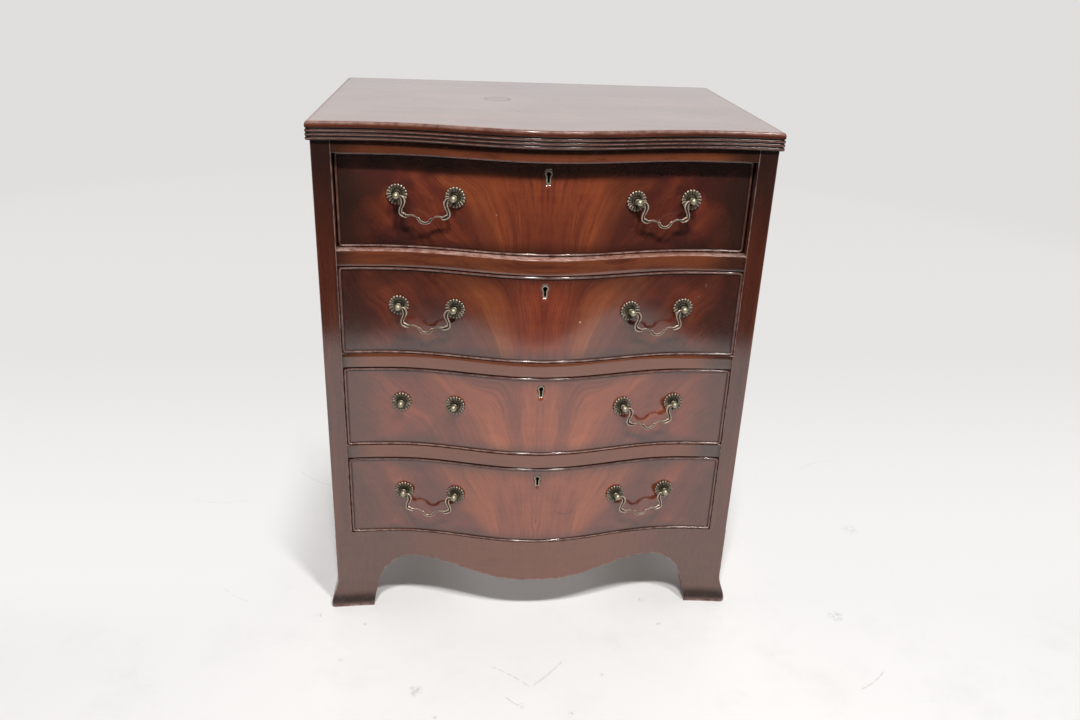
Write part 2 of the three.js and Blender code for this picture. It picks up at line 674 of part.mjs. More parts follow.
// Swan-neck bail: a flat casting between the balls, with a pin at each end.
function bail(halfSpan) {
  const half = [...BAIL_INNER_SHARES, ...BAIL_OUTER_SHARES];
  const right = half.map(([x, z]) => [x * halfSpan, z * BAIL_DROP]);
  const end = halfSpan - BALL_RADIUS - BAIL_BALL_GAP;
  const neckTop = [end, PIN_RADIUS];
  const neckFoot = [end, -PIN_RADIUS];
  const inner = [neckTop, ...right.slice(0, BAIL_INNER_SHARES.length)];
  const outer = [...right.slice(BAIL_INNER_SHARES.length), neckFoot];
  const flip = (points) => points.map(([x, z]) => [-x, z]).reverse();
  const outline = [...inner, ...flip(inner), ...flip(outer), ...outer];
  const casting = drawnBoard(outline, -BAIL_THICKNESS / 2, BAIL_THICKNESS / 2);
  const pin = rod(PIN_RADIUS, end - PIN_ROOT, end - PIN_ROOT + PIN_LENGTH);
  return joined(casting, [pin, mirrored(pin)]);
}

// Case and base.
const chest = new THREE.Group();
chest.position.y = -MIDDLE_DEPTH;
const side = caseSide();
place(chest, 'top_board', topBoard(), SHOW_WOOD);
place(chest, 'side_right', side, SHOW_WOOD);
place(chest, 'side_left', mirrored(side), SHOW_WOOD);
place(chest, 'top_rail', topRail(), SHOW_WOOD);
openingFloors.slice(0, -1).forEach((floor, i) => {
  place(chest, `divider_${i + 1}`, divider(floor, i > 0), SHOW_WOOD);
});
place(chest, 'bottom_board', bottomBoard(), BACK_WOOD);
place(chest, 'back_panel', backPanel(), BACK_WOOD);
const foundation = baseSide();
place(chest, 'base_front', baseFront(), SHOW_WOOD);
place(chest, 'base_side_right', foundation, SHOW_WOOD);
place(chest, 'base_side_left', mirrored(foundation), SHOW_WOOD);

// Handles and keyhole liners are alike on all the drawers.
const handles = { left: handleAt(-HANDLE_CENTRE), right: handleAt(HANDLE_CENTRE) };
const castings = {};
for (const [name, handle] of Object.entries(handles)) {
  castings[name] = {
    rosettes: handle.seats.map((seat, i) => rosette(handle.turn - seat.turn + i * Math.PI)),
    bail: bail(handle.halfSpan),
  };
}
const liner = keyholeLiner();

// Drawers, numbered from the top; the top one stands pushed in behind the rails.
DRAWER_OPENINGS.forEach((opening, i) => {
  const number = i + 1;
  const drawer = new THREE.Group();
  const recess = i === 0 ? TOP_DRAWER_RECESS : 0;
  drawer.position.set(0, recess, openingFloors[i]);
  chest.add(drawer);
  const named = (piece) => `drawer_${number}_${piece}`;

  const frontHeight = opening - 2 * DRAWER_CLEARANCE;
  place(drawer, named('front'), drawerFront(frontHeight), FRONT_VENEER, [0, 0, DRAWER_CLEARANCE]);
  const linerHeight = opening - KEYHOLE_DROP;
  place(drawer, named('escutcheon'), liner, BRASS, [0, 0, linerHeight]);

  const sideHeight = opening - LINING_TOP_DROP;
  const innerHalf = INNER_HALF - DRAWER_CLEARANCE - LINING_THICKNESS;
  const near = FRONT_SETBACK + FRONT_THICKNESS + DRAWER_RUNNING_GAP - bow(innerHalf);
  const far = BACK_FACE - TOP_DRAWER_RECESS - DRAWER_RUNNING_GAP;
  const sideBoard = drawerSide(sideHeight, near, far);
  const lift = [0, 0, DRAWER_RUNNING_GAP];
  place(drawer, named('side_right'), sideBoard, LINING_WOOD, lift);
  place(drawer, named('side_left'), mirrored(sideBoard), LINING_WOOD, lift);
  place(drawer, named('bottom'), drawerPanel(far), LINING_WOOD, lift);
  const backBoard = block(
    [WOOD_GAP - innerHalf, far - LINING_BACK_THICKNESS, PANEL_HEIGHT + PANEL_THICKNESS + WOOD_GAP],
    [innerHalf - WOOD_GAP, far, sideHeight - LINING_BACK_DROP],
  );
  place(drawer, named('back'), backBoard, LINING_WOOD, lift);

  const axisHeight = opening / 2 + HANDLE_RISE;
  for (const [name, handle] of Object.entries(handles)) {
    const ends = name === 'left' ? ['outer', 'inner'] : ['inner', 'outer'];
    handle.seats.forEach((seat, s) => {
      const piece = named(`rosette_${name}_${ends[s]}`);
      place(drawer, piece, castings[name].rosettes[s], BRASS, [...seat.foot, axisHeight], seat.turn);
    });
    const lost = name === 'left' && number === 3;
    if (!lost) {
      const middle = [...handle.middle, axisHeight];
      place(drawer, named(`bail_${name}`), castings[name].bail, BRASS, middle, handle.turn);
    }
  }
});

export default chest;
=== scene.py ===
# %% [markdown]
# A small serpentine chest of drawers: mahogany, a reeded top, cock-beaded drawers and swan-neck
# brass handles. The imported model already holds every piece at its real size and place, so this
# lesson only dresses it. Curved pieces are made again with many more facets, because a polished
# surface shows every flat, and every surface gets a finish made of nodes.

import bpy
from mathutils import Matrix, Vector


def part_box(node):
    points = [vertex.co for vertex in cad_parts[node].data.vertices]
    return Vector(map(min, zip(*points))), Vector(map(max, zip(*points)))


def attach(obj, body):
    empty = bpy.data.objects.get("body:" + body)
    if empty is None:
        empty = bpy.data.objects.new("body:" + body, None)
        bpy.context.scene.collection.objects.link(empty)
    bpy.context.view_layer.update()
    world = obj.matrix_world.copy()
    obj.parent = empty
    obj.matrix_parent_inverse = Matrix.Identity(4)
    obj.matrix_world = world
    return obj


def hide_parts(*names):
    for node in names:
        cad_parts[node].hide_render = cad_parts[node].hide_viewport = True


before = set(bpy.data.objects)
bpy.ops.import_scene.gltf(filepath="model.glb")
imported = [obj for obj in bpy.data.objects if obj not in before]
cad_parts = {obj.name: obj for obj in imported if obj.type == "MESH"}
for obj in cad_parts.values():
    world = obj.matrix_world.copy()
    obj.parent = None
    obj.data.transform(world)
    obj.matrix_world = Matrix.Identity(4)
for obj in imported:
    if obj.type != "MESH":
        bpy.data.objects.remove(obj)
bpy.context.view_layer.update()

import math
from functools import partialmethod

import bmesh
import bpy
import numpy as np
from mathutils import Matrix, Vector

# %% [markdown]
# The camera comes first. It stands a little left of the middle and looks down on the chest, at the
# height of someone who holds a phone in front of it. Its place, turn, pitch and lean were fitted
# to the corners of the chest in the photograph.

# %% Camera
CAMERA_PLACE = (-0.0992, -1.38115, 0.9549)
CAMERA_TURNS = ((-4.771, "Z"), (90 - 23.918, "X"), (2.287, "Z"))
CAMERA_LENS = 30.195
CAMERA_SENSOR = 36.0


def put(name, data):
    """An object for some data, in the scene."""
    item = bpy.data.objects.new(name, data)
    bpy.context.collection.objects.link(item)
    return item


camera = put("photo_camera", bpy.data.cameras.new("photo_camera"))
camera.data.sensor_width = CAMERA_SENSOR
camera.data.lens = CAMERA_LENS
stand = Matrix.Translation(CAMERA_PLACE)
for degrees, axis in CAMERA_TURNS:
    stand = stand @ Matrix.Rotation(math.radians(degrees), 4, axis)
camera.matrix_world = stand
bpy.context.scene.camera = camera
print("camera at", CAMERA_PLACE)

# %% [markdown]
# One curve runs through the whole chest. The front bows out in the middle, goes hollow on each
# side and comes forward again at the ends, and the top, the rails, the drawers and the apron all
# follow it. It is written once here, in metres, and every curved piece asks it where to be.

# %% The serpentine front
MM = 0.001
BOW_DEPTH = 33.5 * MM
EAR_DEPTH = 5.4 * MM
HALF_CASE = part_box("side_right")[1].x
HOLLOW_X = HALF_CASE * 0.7
HOLLOW_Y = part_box("top_rail")[0].y + BOW_DEPTH
SIDES = (("left", -1), ("right", 1))
DRAWERS = (1, 2, 3, 4)


def bow(x):
    """How far the front stands forward of its hollow line, at a place across it."""
    across = abs(x)
    if across < HOLLOW_X:
        return BOW_DEPTH * (1 + math.cos(math.pi * across / HOLLOW_X)) / 2
    return EAR_DEPTH * ((across - HOLLOW_X) / (HALF_CASE - HOLLOW_X)) ** 2


def bow_slope(x):
    """How fast that changes, for setting the handles square to the surface."""
    across = abs(x)
    sign = math.copysign(1, x)
    pace = math.pi / HOLLOW_X
    if across < HOLLOW_X:
        return -sign * BOW_DEPTH * pace * math.sin(pace * across) / 2
    return sign * 2 * EAR_DEPTH * (across - HOLLOW_X) / (HALF_CASE - HOLLOW_X) ** 2


def spread(start, end, steps):
    """Evenly spaced values, both ends included."""
    return [start + (end - start) * i / steps for i in range(steps + 1)]


def circle(radius, count):
    """Points round a circle."""
    return [(radius * math.cos(a), radius * math.sin(a))
            for a in spread(0, 2 * math.pi, count)[:-1]]


def ease(value, low, high):
    """0 below low, 1 above high and a smooth rise between."""
    share = min(1.0, max(0.0, (value - low) / (high - low)))
    return share * share * (3 - 2 * share)


print("case", round(2 * HALF_CASE, 3), "m wide, hollow line at y", round(HOLLOW_Y, 4))

# %% [markdown]
# Pieces are built straight from points. Each point may carry two numbers: wear, for arrises that
# hands and dusters have rubbed pale, and a darkening, for corners that polish and dust have
# darkened, which also carries painted shade beside the beads and under the top. A finish reads them
# as attributes, so the wear follows the shape from every side.

# %% Making and placing a piece
SHARP_ANGLE = math.radians(38)
MERGE_DISTANCE = 0.004 * MM
made_pieces = []


def mark(mesh, wear, dirt):
    """Gives every point of a mesh its wear and its darkening by dirt and painted shade."""
    for label, values in (("wear", wear), ("dirt", dirt)):
        mesh.attributes.new(label, "FLOAT", "POINT").data.foreach_set("value", values)


def clean_mesh(mesh):
    """Merges doubles, turns the faces outwards and sets the shading."""
    work = bmesh.new()
    work.from_mesh(mesh)
    bmesh.ops.remove_doubles(work, verts=work.verts, dist=MERGE_DISTANCE)
    bmesh.ops.recalc_face_normals(work, faces=work.faces)
    work.to_mesh(mesh)
    work.free()
    mesh.shade_smooth()
    mesh.set_sharp_from_angle(angle=SHARP_ANGLE)
    return mesh


def mesh_from(name, points, faces, wear=None, dirt=None):
    """A closed mesh with its faces outwards, smooth but for its sharp edges."""
    mesh = bpy.data.meshes.new(name)
    mesh.from_pydata(points, [], faces)
    none = [0.0] * len(points)
    mark(mesh, wear or none, dirt or none)
    return clean_mesh(mesh)


def joined_mesh(name, parts):
    """Several meshes as one, each kept as it is, with their attributes."""
    points, faces, marks = [], [], {"wear": [], "dirt": []}
    for mesh in parts:
        faces += [[len(points) + i for i in p.vertices] for p in mesh.polygons]
        points += [tuple(v.co) for v in mesh.vertices]
        for label, values in marks.items():
            layer = mesh.attributes.get(label)
            values += [d.value for d in layer.data] if layer else [0.0] * len(mesh.vertices)
    return mesh_from(name, points, faces, **marks)


def place(name, mesh, body, material, replaces=()):
    """Shows a mesh as a piece of the chest: on its body, in its finish, for what it replaces."""
    mesh.name = name
    mesh.materials.clear()
    mesh.materials.append(material)
    piece = put(name, mesh)
    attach(piece, body)
    if replaces:
        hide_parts(*replaces)
    made_pieces.append(piece)


print("smooth shading splits at", round(math.degrees(SHARP_ANGLE)), "degrees")

# %% [markdown]
# Three forms make nearly every wooden piece. A loft is a skin over a row of outlines, such as
# the levels of the top's moulded edge. A slab is a bent board between an outer and an inner
# grid. A block is a plain box, for what hides inside. Modelling by hand could give the same
# curves, but points that follow a rule stay exact and fit the model's own box.

# %% Lofts, slabs and blocks
def lofted(name, rings, wear=None, dirt=None, closed_loop=False):
    """A skin over outlines of equal length, capped at both ends or closed into a loop."""
    count = len(rings[0])
    starts = [r * count for r in range(len(rings))]
    following = starts[1:] + ([0] if closed_loop else [])
    faces = [(low + i, low + (i + 1) % count, high + (i + 1) % count, high + i)
             for low, high in zip(starts, following) for i in range(count)]
    if not closed_loop:
        faces += [tuple(reversed(range(count))), tuple(range(starts[-1], starts[-1] + count))]
    return mesh_from(name, [p for ring in rings for p in ring], faces, wear, dirt)


def per_ring(rows, count):
    """Wear and dirt for rings of that many points, from the last two numbers of each row."""
    return ([row[i] for row in rows for _ in range(count)] for i in (-2, -1))


def slab(name, columns, rows, outer, inner, wear, dirt):
    """A bent board: an outer and an inner grid over the same columns and rows, closed round."""
    spots = [(column, row) for column in columns for row in rows]
    points = [face(*spot) for face in (outer, inner) for spot in spots]
    marks = [[value(*spot) for spot in spots] * 2 for value in (wear, dirt)]
    high, shift = len(rows), len(spots)
    faces = []
    for c in range(len(columns) - 1):
        for a in range(c * high, c * high + high - 1):
            faces.append((a, a + high, a + high + 1, a + 1))
            faces.append((a + shift, a + 1 + shift, a + high + 1 + shift, a + high + shift))
        for a in (c * high, c * high + high - 1):
            faces.append((a, a + high, a + high + shift, a + shift))
    for start in (0, shift - high):
        faces += [(a, a + 1, a + 1 + shift, a + shift) for a in range(start, start + high - 1)]
    return mesh_from(name, points, faces, *marks)


def block(low, high):
    """A plain box between two corners, for a joined mesh."""
    corners = [(x, y, z) for z in (low[2], high[2]) for x, y in (
        (low[0], low[1]), (high[0], low[1]), (high[0], high[1]), (low[0], high[1]))]
    faces = [(3, 2, 1, 0), (4, 5, 6, 7), (0, 1, 5, 4), (1, 2, 6, 5), (2, 3, 7, 6), (3, 0, 4, 7)]
    return mesh_from("block", corners, faces)


print("forms ready: loft, slab and block")

# %% [markdown]
# Node trees are written like sums here. A Value is one output of a node, and adding,
# multiplying or comparing values adds a Math node, so `a * 0.5 + b` is two nodes. Wiring the
# same nodes one by one would take many more lines and hide the recipe.

# %% A short way to write nodes
class Value:
    """One output of a node, with the arithmetic that adds more nodes."""

    def __init__(self, graph, socket):
        self.graph, self.socket = graph, socket

    def math(self, operation, other=0.0):
        """A Math node on this value and another value or number."""
        return self.graph.add("ShaderNodeMath", {0: self, 1: other}, operation=operation)

    __add__ = partialmethod(math, "ADD")
    __sub__ = partialmethod(math, "SUBTRACT")
    __mul__ = partialmethod(math, "MULTIPLY")
    __truediv__ = partialmethod(math, "DIVIDE")
    __abs__ = partialmethod(math, "ABSOLUTE")
    most = partialmethod(math, "MAXIMUM")
    least = partialmethod(math, "MINIMUM")
    below = partialmethod(math, "LESS_THAN")
    root = partialmethod(math, "SQRT")
    cosine = partialmethod(math, "COSINE")

    def __rsub__(self, other):
        return self.graph.add("ShaderNodeMath", {0: other, 1: self}, operation="SUBTRACT")

    def rise(self, low, high, out_low=0.0, out_high=1.0):
        """A smooth step from one level to another."""
        inputs = {"Value": self, "From Min": low, "From Max": high, "To Min": out_low,
                  "To Max": out_high}
        return self.graph.add("ShaderNodeMapRange", inputs, interpolation_type="SMOOTHSTEP")


class Graph:
    """A node tree and short ways to add to it."""

    def __init__(self, tree):
        self.tree = tree
        tree.nodes.clear()

    def fill(self, socket, value):
        """Links a value to an input, or sets a plain number or colour on it."""
        if isinstance(value, Value):
            self.tree.links.new(value.socket, socket)
        else:
            socket.default_value = value

    def add(self, kind, inputs=None, output=0, **settings):
        """A node with its inputs filled, by name or number, as one of its outputs."""
        node = self.tree.nodes.new(kind)
        for setting, value in settings.items():
            setattr(node, setting, value)
        for key, value in (inputs or {}).items():
            self.fill(node.inputs[key], value)
        return Value(self, node.outputs[output])

    def vector(self, x, y, z):
        return self.add("ShaderNodeCombineXYZ", {0: x, 1: y, 2: z})

    def split(self, vector):
        """The x, y and z of a vector."""
        node = self.add("ShaderNodeSeparateXYZ", {0: vector}).socket.node
        return [Value(self, output) for output in node.outputs]


print("node arithmetic ready")

# %% [markdown]
# A Finish is such a graph in a material. It starts from object coordinates, so a pattern keeps
# its size on every piece and moves with it, and it holds what blemishes are made of: noise,
# blends, round spots and thin scratches. Painted image textures could do the same, but they
# would have to be unwrapped and would blur close up.

# %% What every finish needs
class Finish(Graph):
    """A material, its shader and the coordinates on its piece."""

    def __init__(self, name):
        self.material = bpy.data.materials.new(name)
        self.material.use_nodes = True
        super().__init__(self.material.node_tree)
        self.shader = self.tree.nodes.new("ShaderNodeBsdfPrincipled")
        self.output = self.tree.nodes.new("ShaderNodeOutputMaterial")
        self.show(Value(self, self.shader.outputs[0]))
        self.point = self.add("ShaderNodeTexCoord", output="Object")
        self.xyz = self.split(self.point)
        self.dull = 0.0

    def show(self, surface):
        self.fill(self.output.inputs["Surface"], surface)

    def noise(self, vector, scale=1.0, detail=4.0, roughness=0.5):
        inputs = {"Vector": vector, "Scale": scale, "Detail": detail, "Roughness": roughness}
        return self.add("ShaderNodeTexNoise", inputs)

    def blend(self, share, a, b, kind="MIX"):
        """A colour between two others, which are values or red, green and blue."""
        a, b = ((*c, 1.0) if isinstance(c, tuple) else c for c in (a, b))
        return self.add("ShaderNodeMix", {0: share, 6: a, 7: b}, 2, data_type="RGBA",
                        blend_type=kind)

    def ramp(self, value, stops):
        """A colour ramp from (place, colour) pairs."""
        colour = self.add("ShaderNodeValToRGB", {0: value})
        elements = colour.socket.node.color_ramp.elements
        while len(elements) < len(stops):
            elements.new(0.5)
        for element, (where, shade) in zip(elements, stops):
            element.position = where
            element.color = (*shade, 1.0)
        return colour

    def tint(self, level, green, blue):
        """A near grey: a level, with its green and blue as shares of it."""
        return self.add("ShaderNodeCombineColor", {0: level, 1: level * green, 2: level * blue})

    def distance(self, a, b, at):
        """How far two coordinates are from one place."""
        across, up = a - at[0], b - at[1]
        return (across * across + up * up).root()

    def spot(self, a, b, at, size):
        """1 inside a small round spot at one place of a surface, fading at its edge."""
        return self.distance(a, b, at).rise(0.4 * size, size, 1.0, 0.0)

    def scratch(self, a, b, start, end, width, sag=0.0):
        """1 along a thin line from start to end, which may sag into a curve."""
        run, climb = end[0] - start[0], end[1] - start[1]
        length = math.hypot(run, climb)
        across, up = a - start[0], b - start[1]
        along = across * (run / length ** 2) + up * (climb / length ** 2)
        aside = up * (run / length) + across * (-climb / length)
        curve = along * (1.0 - along) * (4 * sag)
        line = abs(aside + curve).rise(0.4 * width, width, 1.0, 0.0)
        return line * (along.rise(-0.02, 0.06) * along.rise(0.9, 1.02, 1.0, 0.0))

    def attribute(self, name):
        return self.add("ShaderNodeAttribute", output="Fac", attribute_name=name)

    def bump(self, height, strength, distance):
        """Small relief: strength is a share, distance is in metres."""
        inputs = {"Height": height, "Strength": strength, "Distance": distance}
        self.set(Normal=self.add("ShaderNodeBump", inputs))

    def set(self, **inputs):
        """Sets or links inputs of the shader, named with underscores for spaces."""
        for key, value in inputs.items():
            self.fill(self.shader.inputs[key.replace("_", " ")], value)


print("node helpers ready")

# %% [markdown]
# Plain mahogany has long streaks that run with the grain, finer lines inside them, and short dark
# pores. Noise stretched along the grain gives all three. Polish sits over it as a thin clear coat,
# and the wear and darkening attributes paint rubbed arrises pale and corners dark, the dark partly
# as painted shade.

# %% Straight-grained mahogany
DARK_GRAIN = (0.050, 0.0125, 0.008)
RED_GRAIN = (0.098, 0.0225, 0.0115)
LIGHT_GRAIN = (0.185, 0.050, 0.020)
PORE_BROWN = (0.035, 0.011, 0.007)
# The next colour stains the ends of the rails and is also painted shade at the tops of the stiles.
DARK_STAIN_AND_SHADE = (0.022, 0.010, 0.008)
WORN_WOOD = (0.50, 0.335, 0.29)
# The next colour is dirt, and also painted shade beside the beads and under the top.
GRIME_AND_SHADE = (0.012, 0.007, 0.005)
COAT_INDEX = 1.9
WOOD_SHINE = 0.15
FILM_ROUGHNESS = 0.11
LONG_STREAKS = (2.4, 85.0)
FINE_LINES = (11.0, 620.0)
PORES = (150.0, 3200.0)


def stretched(wood, where, along, stretch, seed):
    """Coordinates stretched so that noise runs with the grain along one axis."""
    x, y, z = (value * stretch[0 if axis == along else 1] for value, axis in zip(where, "XYZ"))
    return wood.vector(x, y, z + seed)


def polish(wood, colour, relief, gloss, relief_share, smear):
    """Wear, dirt and painted shade, gloss and relief that every polished mahogany piece shares."""
    patches = wood.noise(wood.point, 95.0, 5.0, 0.65)
    wear = wood.attribute("wear")
    worn = wear * (patches.rise(0.36, 0.62) * 0.75 + 0.25)
    colour = wood.blend(worn * 0.8, colour, WORN_WOOD)
    # This darkening is dirt, and on the drawer fronts beside the beads and on the top rail under
    # the top it is painted shade.
    grime_and_shade = wood.attribute("dirt") * patches.rise(0.2, 0.55, 0.65, 1.0)
    colour = wood.blend(grime_and_shade * 0.9, colour, GRIME_AND_SHADE)
    smears = wood.noise(wood.point, 14.0, 6.0, 0.6)
    rough = smears.rise(0.3, 0.75, gloss - 0.4 * smear, gloss + 0.6 * smear) + worn * 0.2
    film = smears.rise(0.3, 0.75, FILM_ROUGHNESS - 0.2 * smear, FILM_ROUGHNESS + 0.3 * smear)
    lost = (grime_and_shade * 0.85).most(wear * 1.1).most(wood.dull).least(0.9)
    wood.set(Base_Color=colour, Roughness=rough, Coat_Weight=1.0 - lost, Coat_Roughness=film,
             Coat_IOR=COAT_INDEX, Specular_IOR_Level=WOOD_SHINE)
    wood.bump(relief, relief_share, 0.25 * MM)
    return wood.material


def mahogany(name, along, seed, light, gloss=0.24, ends=None, marks=None, relief_share=0.35,
             spread_share=1.0, smear=0.14, paler_low=0.0):
    """Straight-grained mahogany.

    light moves it from dark to pale, paler_low pales it towards the floor, spread_share is how
    far its streaks differ, and ends darkens both ends of a rail from that many metres out.
    """
    wood = Finish(name)
    x, _, z = wood.xyz
    wander = wood.noise(wood.point, 6.0, 3.0)
    bent = [value + wander * 0.012 for value in wood.xyz]
    long_streaks = wood.noise(stretched(wood, bent, along, LONG_STREAKS, seed), detail=5.0)
    fine_lines = wood.noise(stretched(wood, bent, along, FINE_LINES, seed), detail=3.0)
    pores = wood.noise(stretched(wood, wood.xyz, along, PORES, seed), detail=1.0)
    figure = long_streaks * 0.62 + fine_lines * 0.26 + wander * 0.12
    figure = (figure - 0.5) * spread_share + 0.5
    if paler_low:
        figure = figure + z.rise(0.12, 0.42, paler_low, 0.0)
    centre = 0.5 + (0.5 - light) * 0.22
    colour = wood.ramp(figure, ((centre - 0.19, DARK_GRAIN), (centre, RED_GRAIN),
                                (centre + 0.17, LIGHT_GRAIN)))
    pore_marks = pores.rise(0.60, 0.72)
    colour = wood.blend(pore_marks * (0.4 * spread_share), colour, PORE_BROWN)
    if ends:
        edge = abs(x + wander * 0.02)
        colour = wood.blend(edge.rise(ends - 0.055, ends - 0.005, 0.0, 0.78), colour, DARK_STAIN_AND_SHADE)
    if marks:
        colour = marks(wood, colour)
    return polish(wood, colour, fine_lines * 0.5 - pore_marks, gloss, relief_share, smear)


print("straight-grained mahogany ready")

# %% [markdown]
# The drawer fronts carry flame veneer, cut where a trunk forks. Two leaves are opened like a book
# at the middle of each front, so the figure mirrors there. Its streaks stand upright in the
# middle and lean outwards as they rise, which makes a wide V. Distance from the joint, less a
# share of the height, gives one number that stays the same along a streak, and noise on it
# draws the flame.

# %% Flame veneer
FLAME_STOPS = ((0.30, (0.068, 0.0130, 0.0085)), (0.45, (0.152, 0.0305, 0.0150)),
               (0.58, (0.245, 0.0560, 0.0200)), (0.76, (0.320, 0.0930, 0.0320)))
FLAME_SHADE = (0.085, 0.0165, 0.0120)
FLAME_CLOUD = (0.044, 0.0110, 0.0090)
FLAME_THREAD = (0.060, 0.0150, 0.0110)
FLAME_PORE = (0.03, 0.010, 0.006)
# The next colour darkens the fronts' ends and rims, and is also the painted shade along their top
# edges.
VENEER_END_DARK = (0.022, 0.0100, 0.0070)
HALF_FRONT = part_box("drawer_2_front")[1].x


def flame_veneer(name, middle, half_height, seed, lift, shade, sooty_ends, contrast, marks):
    """Book-matched flame figure about the middle of one drawer front.

    lift brightens it, shade paints shade along its top edge, where the rail above shades it,
    sooty_ends darkens its two ends, contrast is how far its streaks differ, and marks are its own
    blemishes.
    """
    wood = Finish(name)
    height = wood.xyz[2] - middle
    far = abs(wood.xyz[0])
    mirrored = wood.vector(far, height, seed)
    drift = wood.noise(mirrored, 8.0, 2.0) - 0.5
    ripple = wood.noise(mirrored, 26.0, 2.0) - 0.5
    lean = far.rise(0.012, 0.125, 0.05, 0.85)
    streak = far - height * lean + far.rise(0.01, 0.16) * (drift * 0.125) + ripple * 0.010

    def figured(across, up, detail=2.0, roughness=0.5, shift=0.0):
        """Noise that runs with the streaks, at a scale across them and one up them."""
        where = wood.vector(streak * across, height * up, seed + shift)
        return wood.noise(where, 1.0, detail, roughness)

    lines = figured(230.0, 14.0, 4.0, 0.6)
    glow = streak.rise(0.022, 0.062, 0.25, 1.0) * streak.rise(0.075, 0.165, 1.0, 0.0)
    figure = (figured(24.0, 4.0, 6.0, 0.6) * 0.45 + lines * 0.24 + figured(1100.0, 45.0) * 0.24
              + figured(30.0, 90.0) * 0.12 + glow * 0.15 - 0.075)
    colour = wood.ramp(figure * contrast + 0.54 * (1 - contrast), FLAME_STOPS)
    tinge = figured(22.0, 5.0, shift=9.0)
    colour = wood.blend(tinge.rise(0.40, 0.64, 0.0, 0.6 * contrast), colour, FLAME_SHADE)
    threads = figured(420.0, 9.0, 3.0, 0.65, 2.0)
    colour = wood.blend(threads.rise(0.54, 0.68, 0.0, 0.45 * contrast), colour, FLAME_THREAD)
    clouds = wood.noise(wood.vector(far, height, seed + 4.0), 17.0, 3.0)
    sunk = clouds.rise(0.43, 0.60, 0.0, 0.85 * contrast ** 5) * far.rise(0.06, 0.16)
    colour = wood.blend(sunk, colour, FLAME_CLOUD)
    pore_marks = figured(2600.0, 240.0, 1.0).rise(0.6, 0.72)
    colour = wood.blend(pore_marks * 0.4, colour, FLAME_PORE)
    ends = (far + drift * 0.03).rise(HALF_FRONT - 0.082, HALF_FRONT - 0.006, 0.0, sooty_ends)
    rims = (abs(height) + drift * 0.012).rise(half_height - 0.024, half_height - 0.002, 0.0, 0.55)
    # Painted shade: the top edge darkens where the rail above shades the front.
    under = (height + drift * 0.012).rise(half_height - 0.032, half_height - 0.012, 0.0, shade)
    colour = wood.blend(ends.most(rims).most(under), colour, VENEER_END_DARK)
    colour = wood.blend(1.0, colour, (lift, lift, lift), "MULTIPLY")
    if marks:
        colour = marks(wood, colour)
    return polish(wood, colour, lines * 0.4 - pore_marks, gloss=0.3, relief_share=0.12, smear=0.1)


print("flame veneer ready")

# %% [markdown]
# The rest of the finishes: the plain woods inside and behind, which never saw polish, and the
# brass. Old cast brass is dark where it was never touched and pale where it was, so its colour
# follows the wear attribute too.

# %% Inside woods and brass
STAINED_WOOD = (0.06, 0.035, 0.022)
BRASS_DIRT = (0.012, 0.010, 0.006)


def plain_wood(name, along, seed, dark, light, roughness=0.62):
    """Unpolished planed wood with soft growth lines."""
    wood = Finish(name)
    wander = wood.noise(wood.point, 4.0, 3.0)
    bent = [value + wander * 0.03 for value in wood.xyz]
    growth = wood.noise(stretched(wood, bent, along, (1.6, 60.0), seed), detail=5.0)
    lines = wood.noise(stretched(wood, bent, along, (14.0, 700.0), seed), detail=2.0)
    stains = wood.noise(wood.point, 9.0, 5.0, 0.7)
    colour = wood.ramp(growth * 0.6 + lines * 0.25 + stains * 0.15, ((0.36, dark), (0.62, light)))
    colour = wood.blend(stains.rise(0.52, 0.75, 0.0, 0.35), colour, STAINED_WOOD)
    wood.set(Base_Color=colour,
             Roughness=stains.rise(0.3, 0.7, roughness - 0.08, roughness + 0.1))
    wood.bump(lines + growth * 0.5, 0.4, 0.2 * MM)
    return wood.material


def old_brass(name, dark, bright, roughness=0.5, metal=0.9):
    """Cast brass, dark in its hollows and rubbed on its high places."""
    brass = Finish(name)
    pits = brass.noise(brass.point, 900.0, 4.0, 0.7)
    clouds = brass.noise(brass.point, 160.0, 4.0, 0.6)
    rubbed = brass.attribute("wear") * clouds.rise(0.3, 0.55, 0.6, 1.0)
    tarnish = tuple(0.45 * c for c in dark)
    colour = brass.blend(pits.rise(0.52, 0.7, 0.0, 0.6), brass.blend(rubbed, dark, bright), tarnish)
    colour = brass.blend(brass.attribute("dirt") * 0.85, colour, BRASS_DIRT)
    brass.set(Base_Color=colour, Metallic=metal,
              Roughness=clouds.rise(0.3, 0.7, roughness - 0.06, roughness + 0.16))
    brass.bump(pits + clouds * 0.6, 0.3, 0.12 * MM)
    return brass.material


BRASS = old_brass("old_brass", (0.085, 0.066, 0.042), (0.78, 0.66, 0.53), 0.42, 0.75)
BAIL_BRASS = old_brass("bail_brass", (0.13, 0.080, 0.055), (0.84, 0.67, 0.54), 0.42, 0.6)
BALL_BRASS = old_brass("rubbed_brass", (0.30, 0.27, 0.17), (0.60, 0.56, 0.42))
LINER_BRASS = old_brass("liner_brass", (0.34, 0.29, 0.21), (0.55, 0.49, 0.40))
IRON = old_brass("dull_iron", (0.06, 0.055, 0.05), (0.2, 0.19, 0.18))
LINING_TONES = ((0.22, 0.115, 0.055), (0.46, 0.28, 0.15))
LINING = plain_wood("drawer_lining_wood", "Y", 2.0, *LINING_TONES)
LINING_CROSS = plain_wood("drawer_back_wood", "X", 5.0, *LINING_TONES)
PANEL_WOOD = plain_wood("drawer_bottom_wood", "X", 8.0, (0.27, 0.16, 0.08), (0.52, 0.35, 0.2))
CARCASE = plain_wood("carcase_wood", "X", 12.0, (0.13, 0.07, 0.035), (0.30, 0.175, 0.09), 0.7)
print("plain woods and metals:", len(bpy.data.materials))
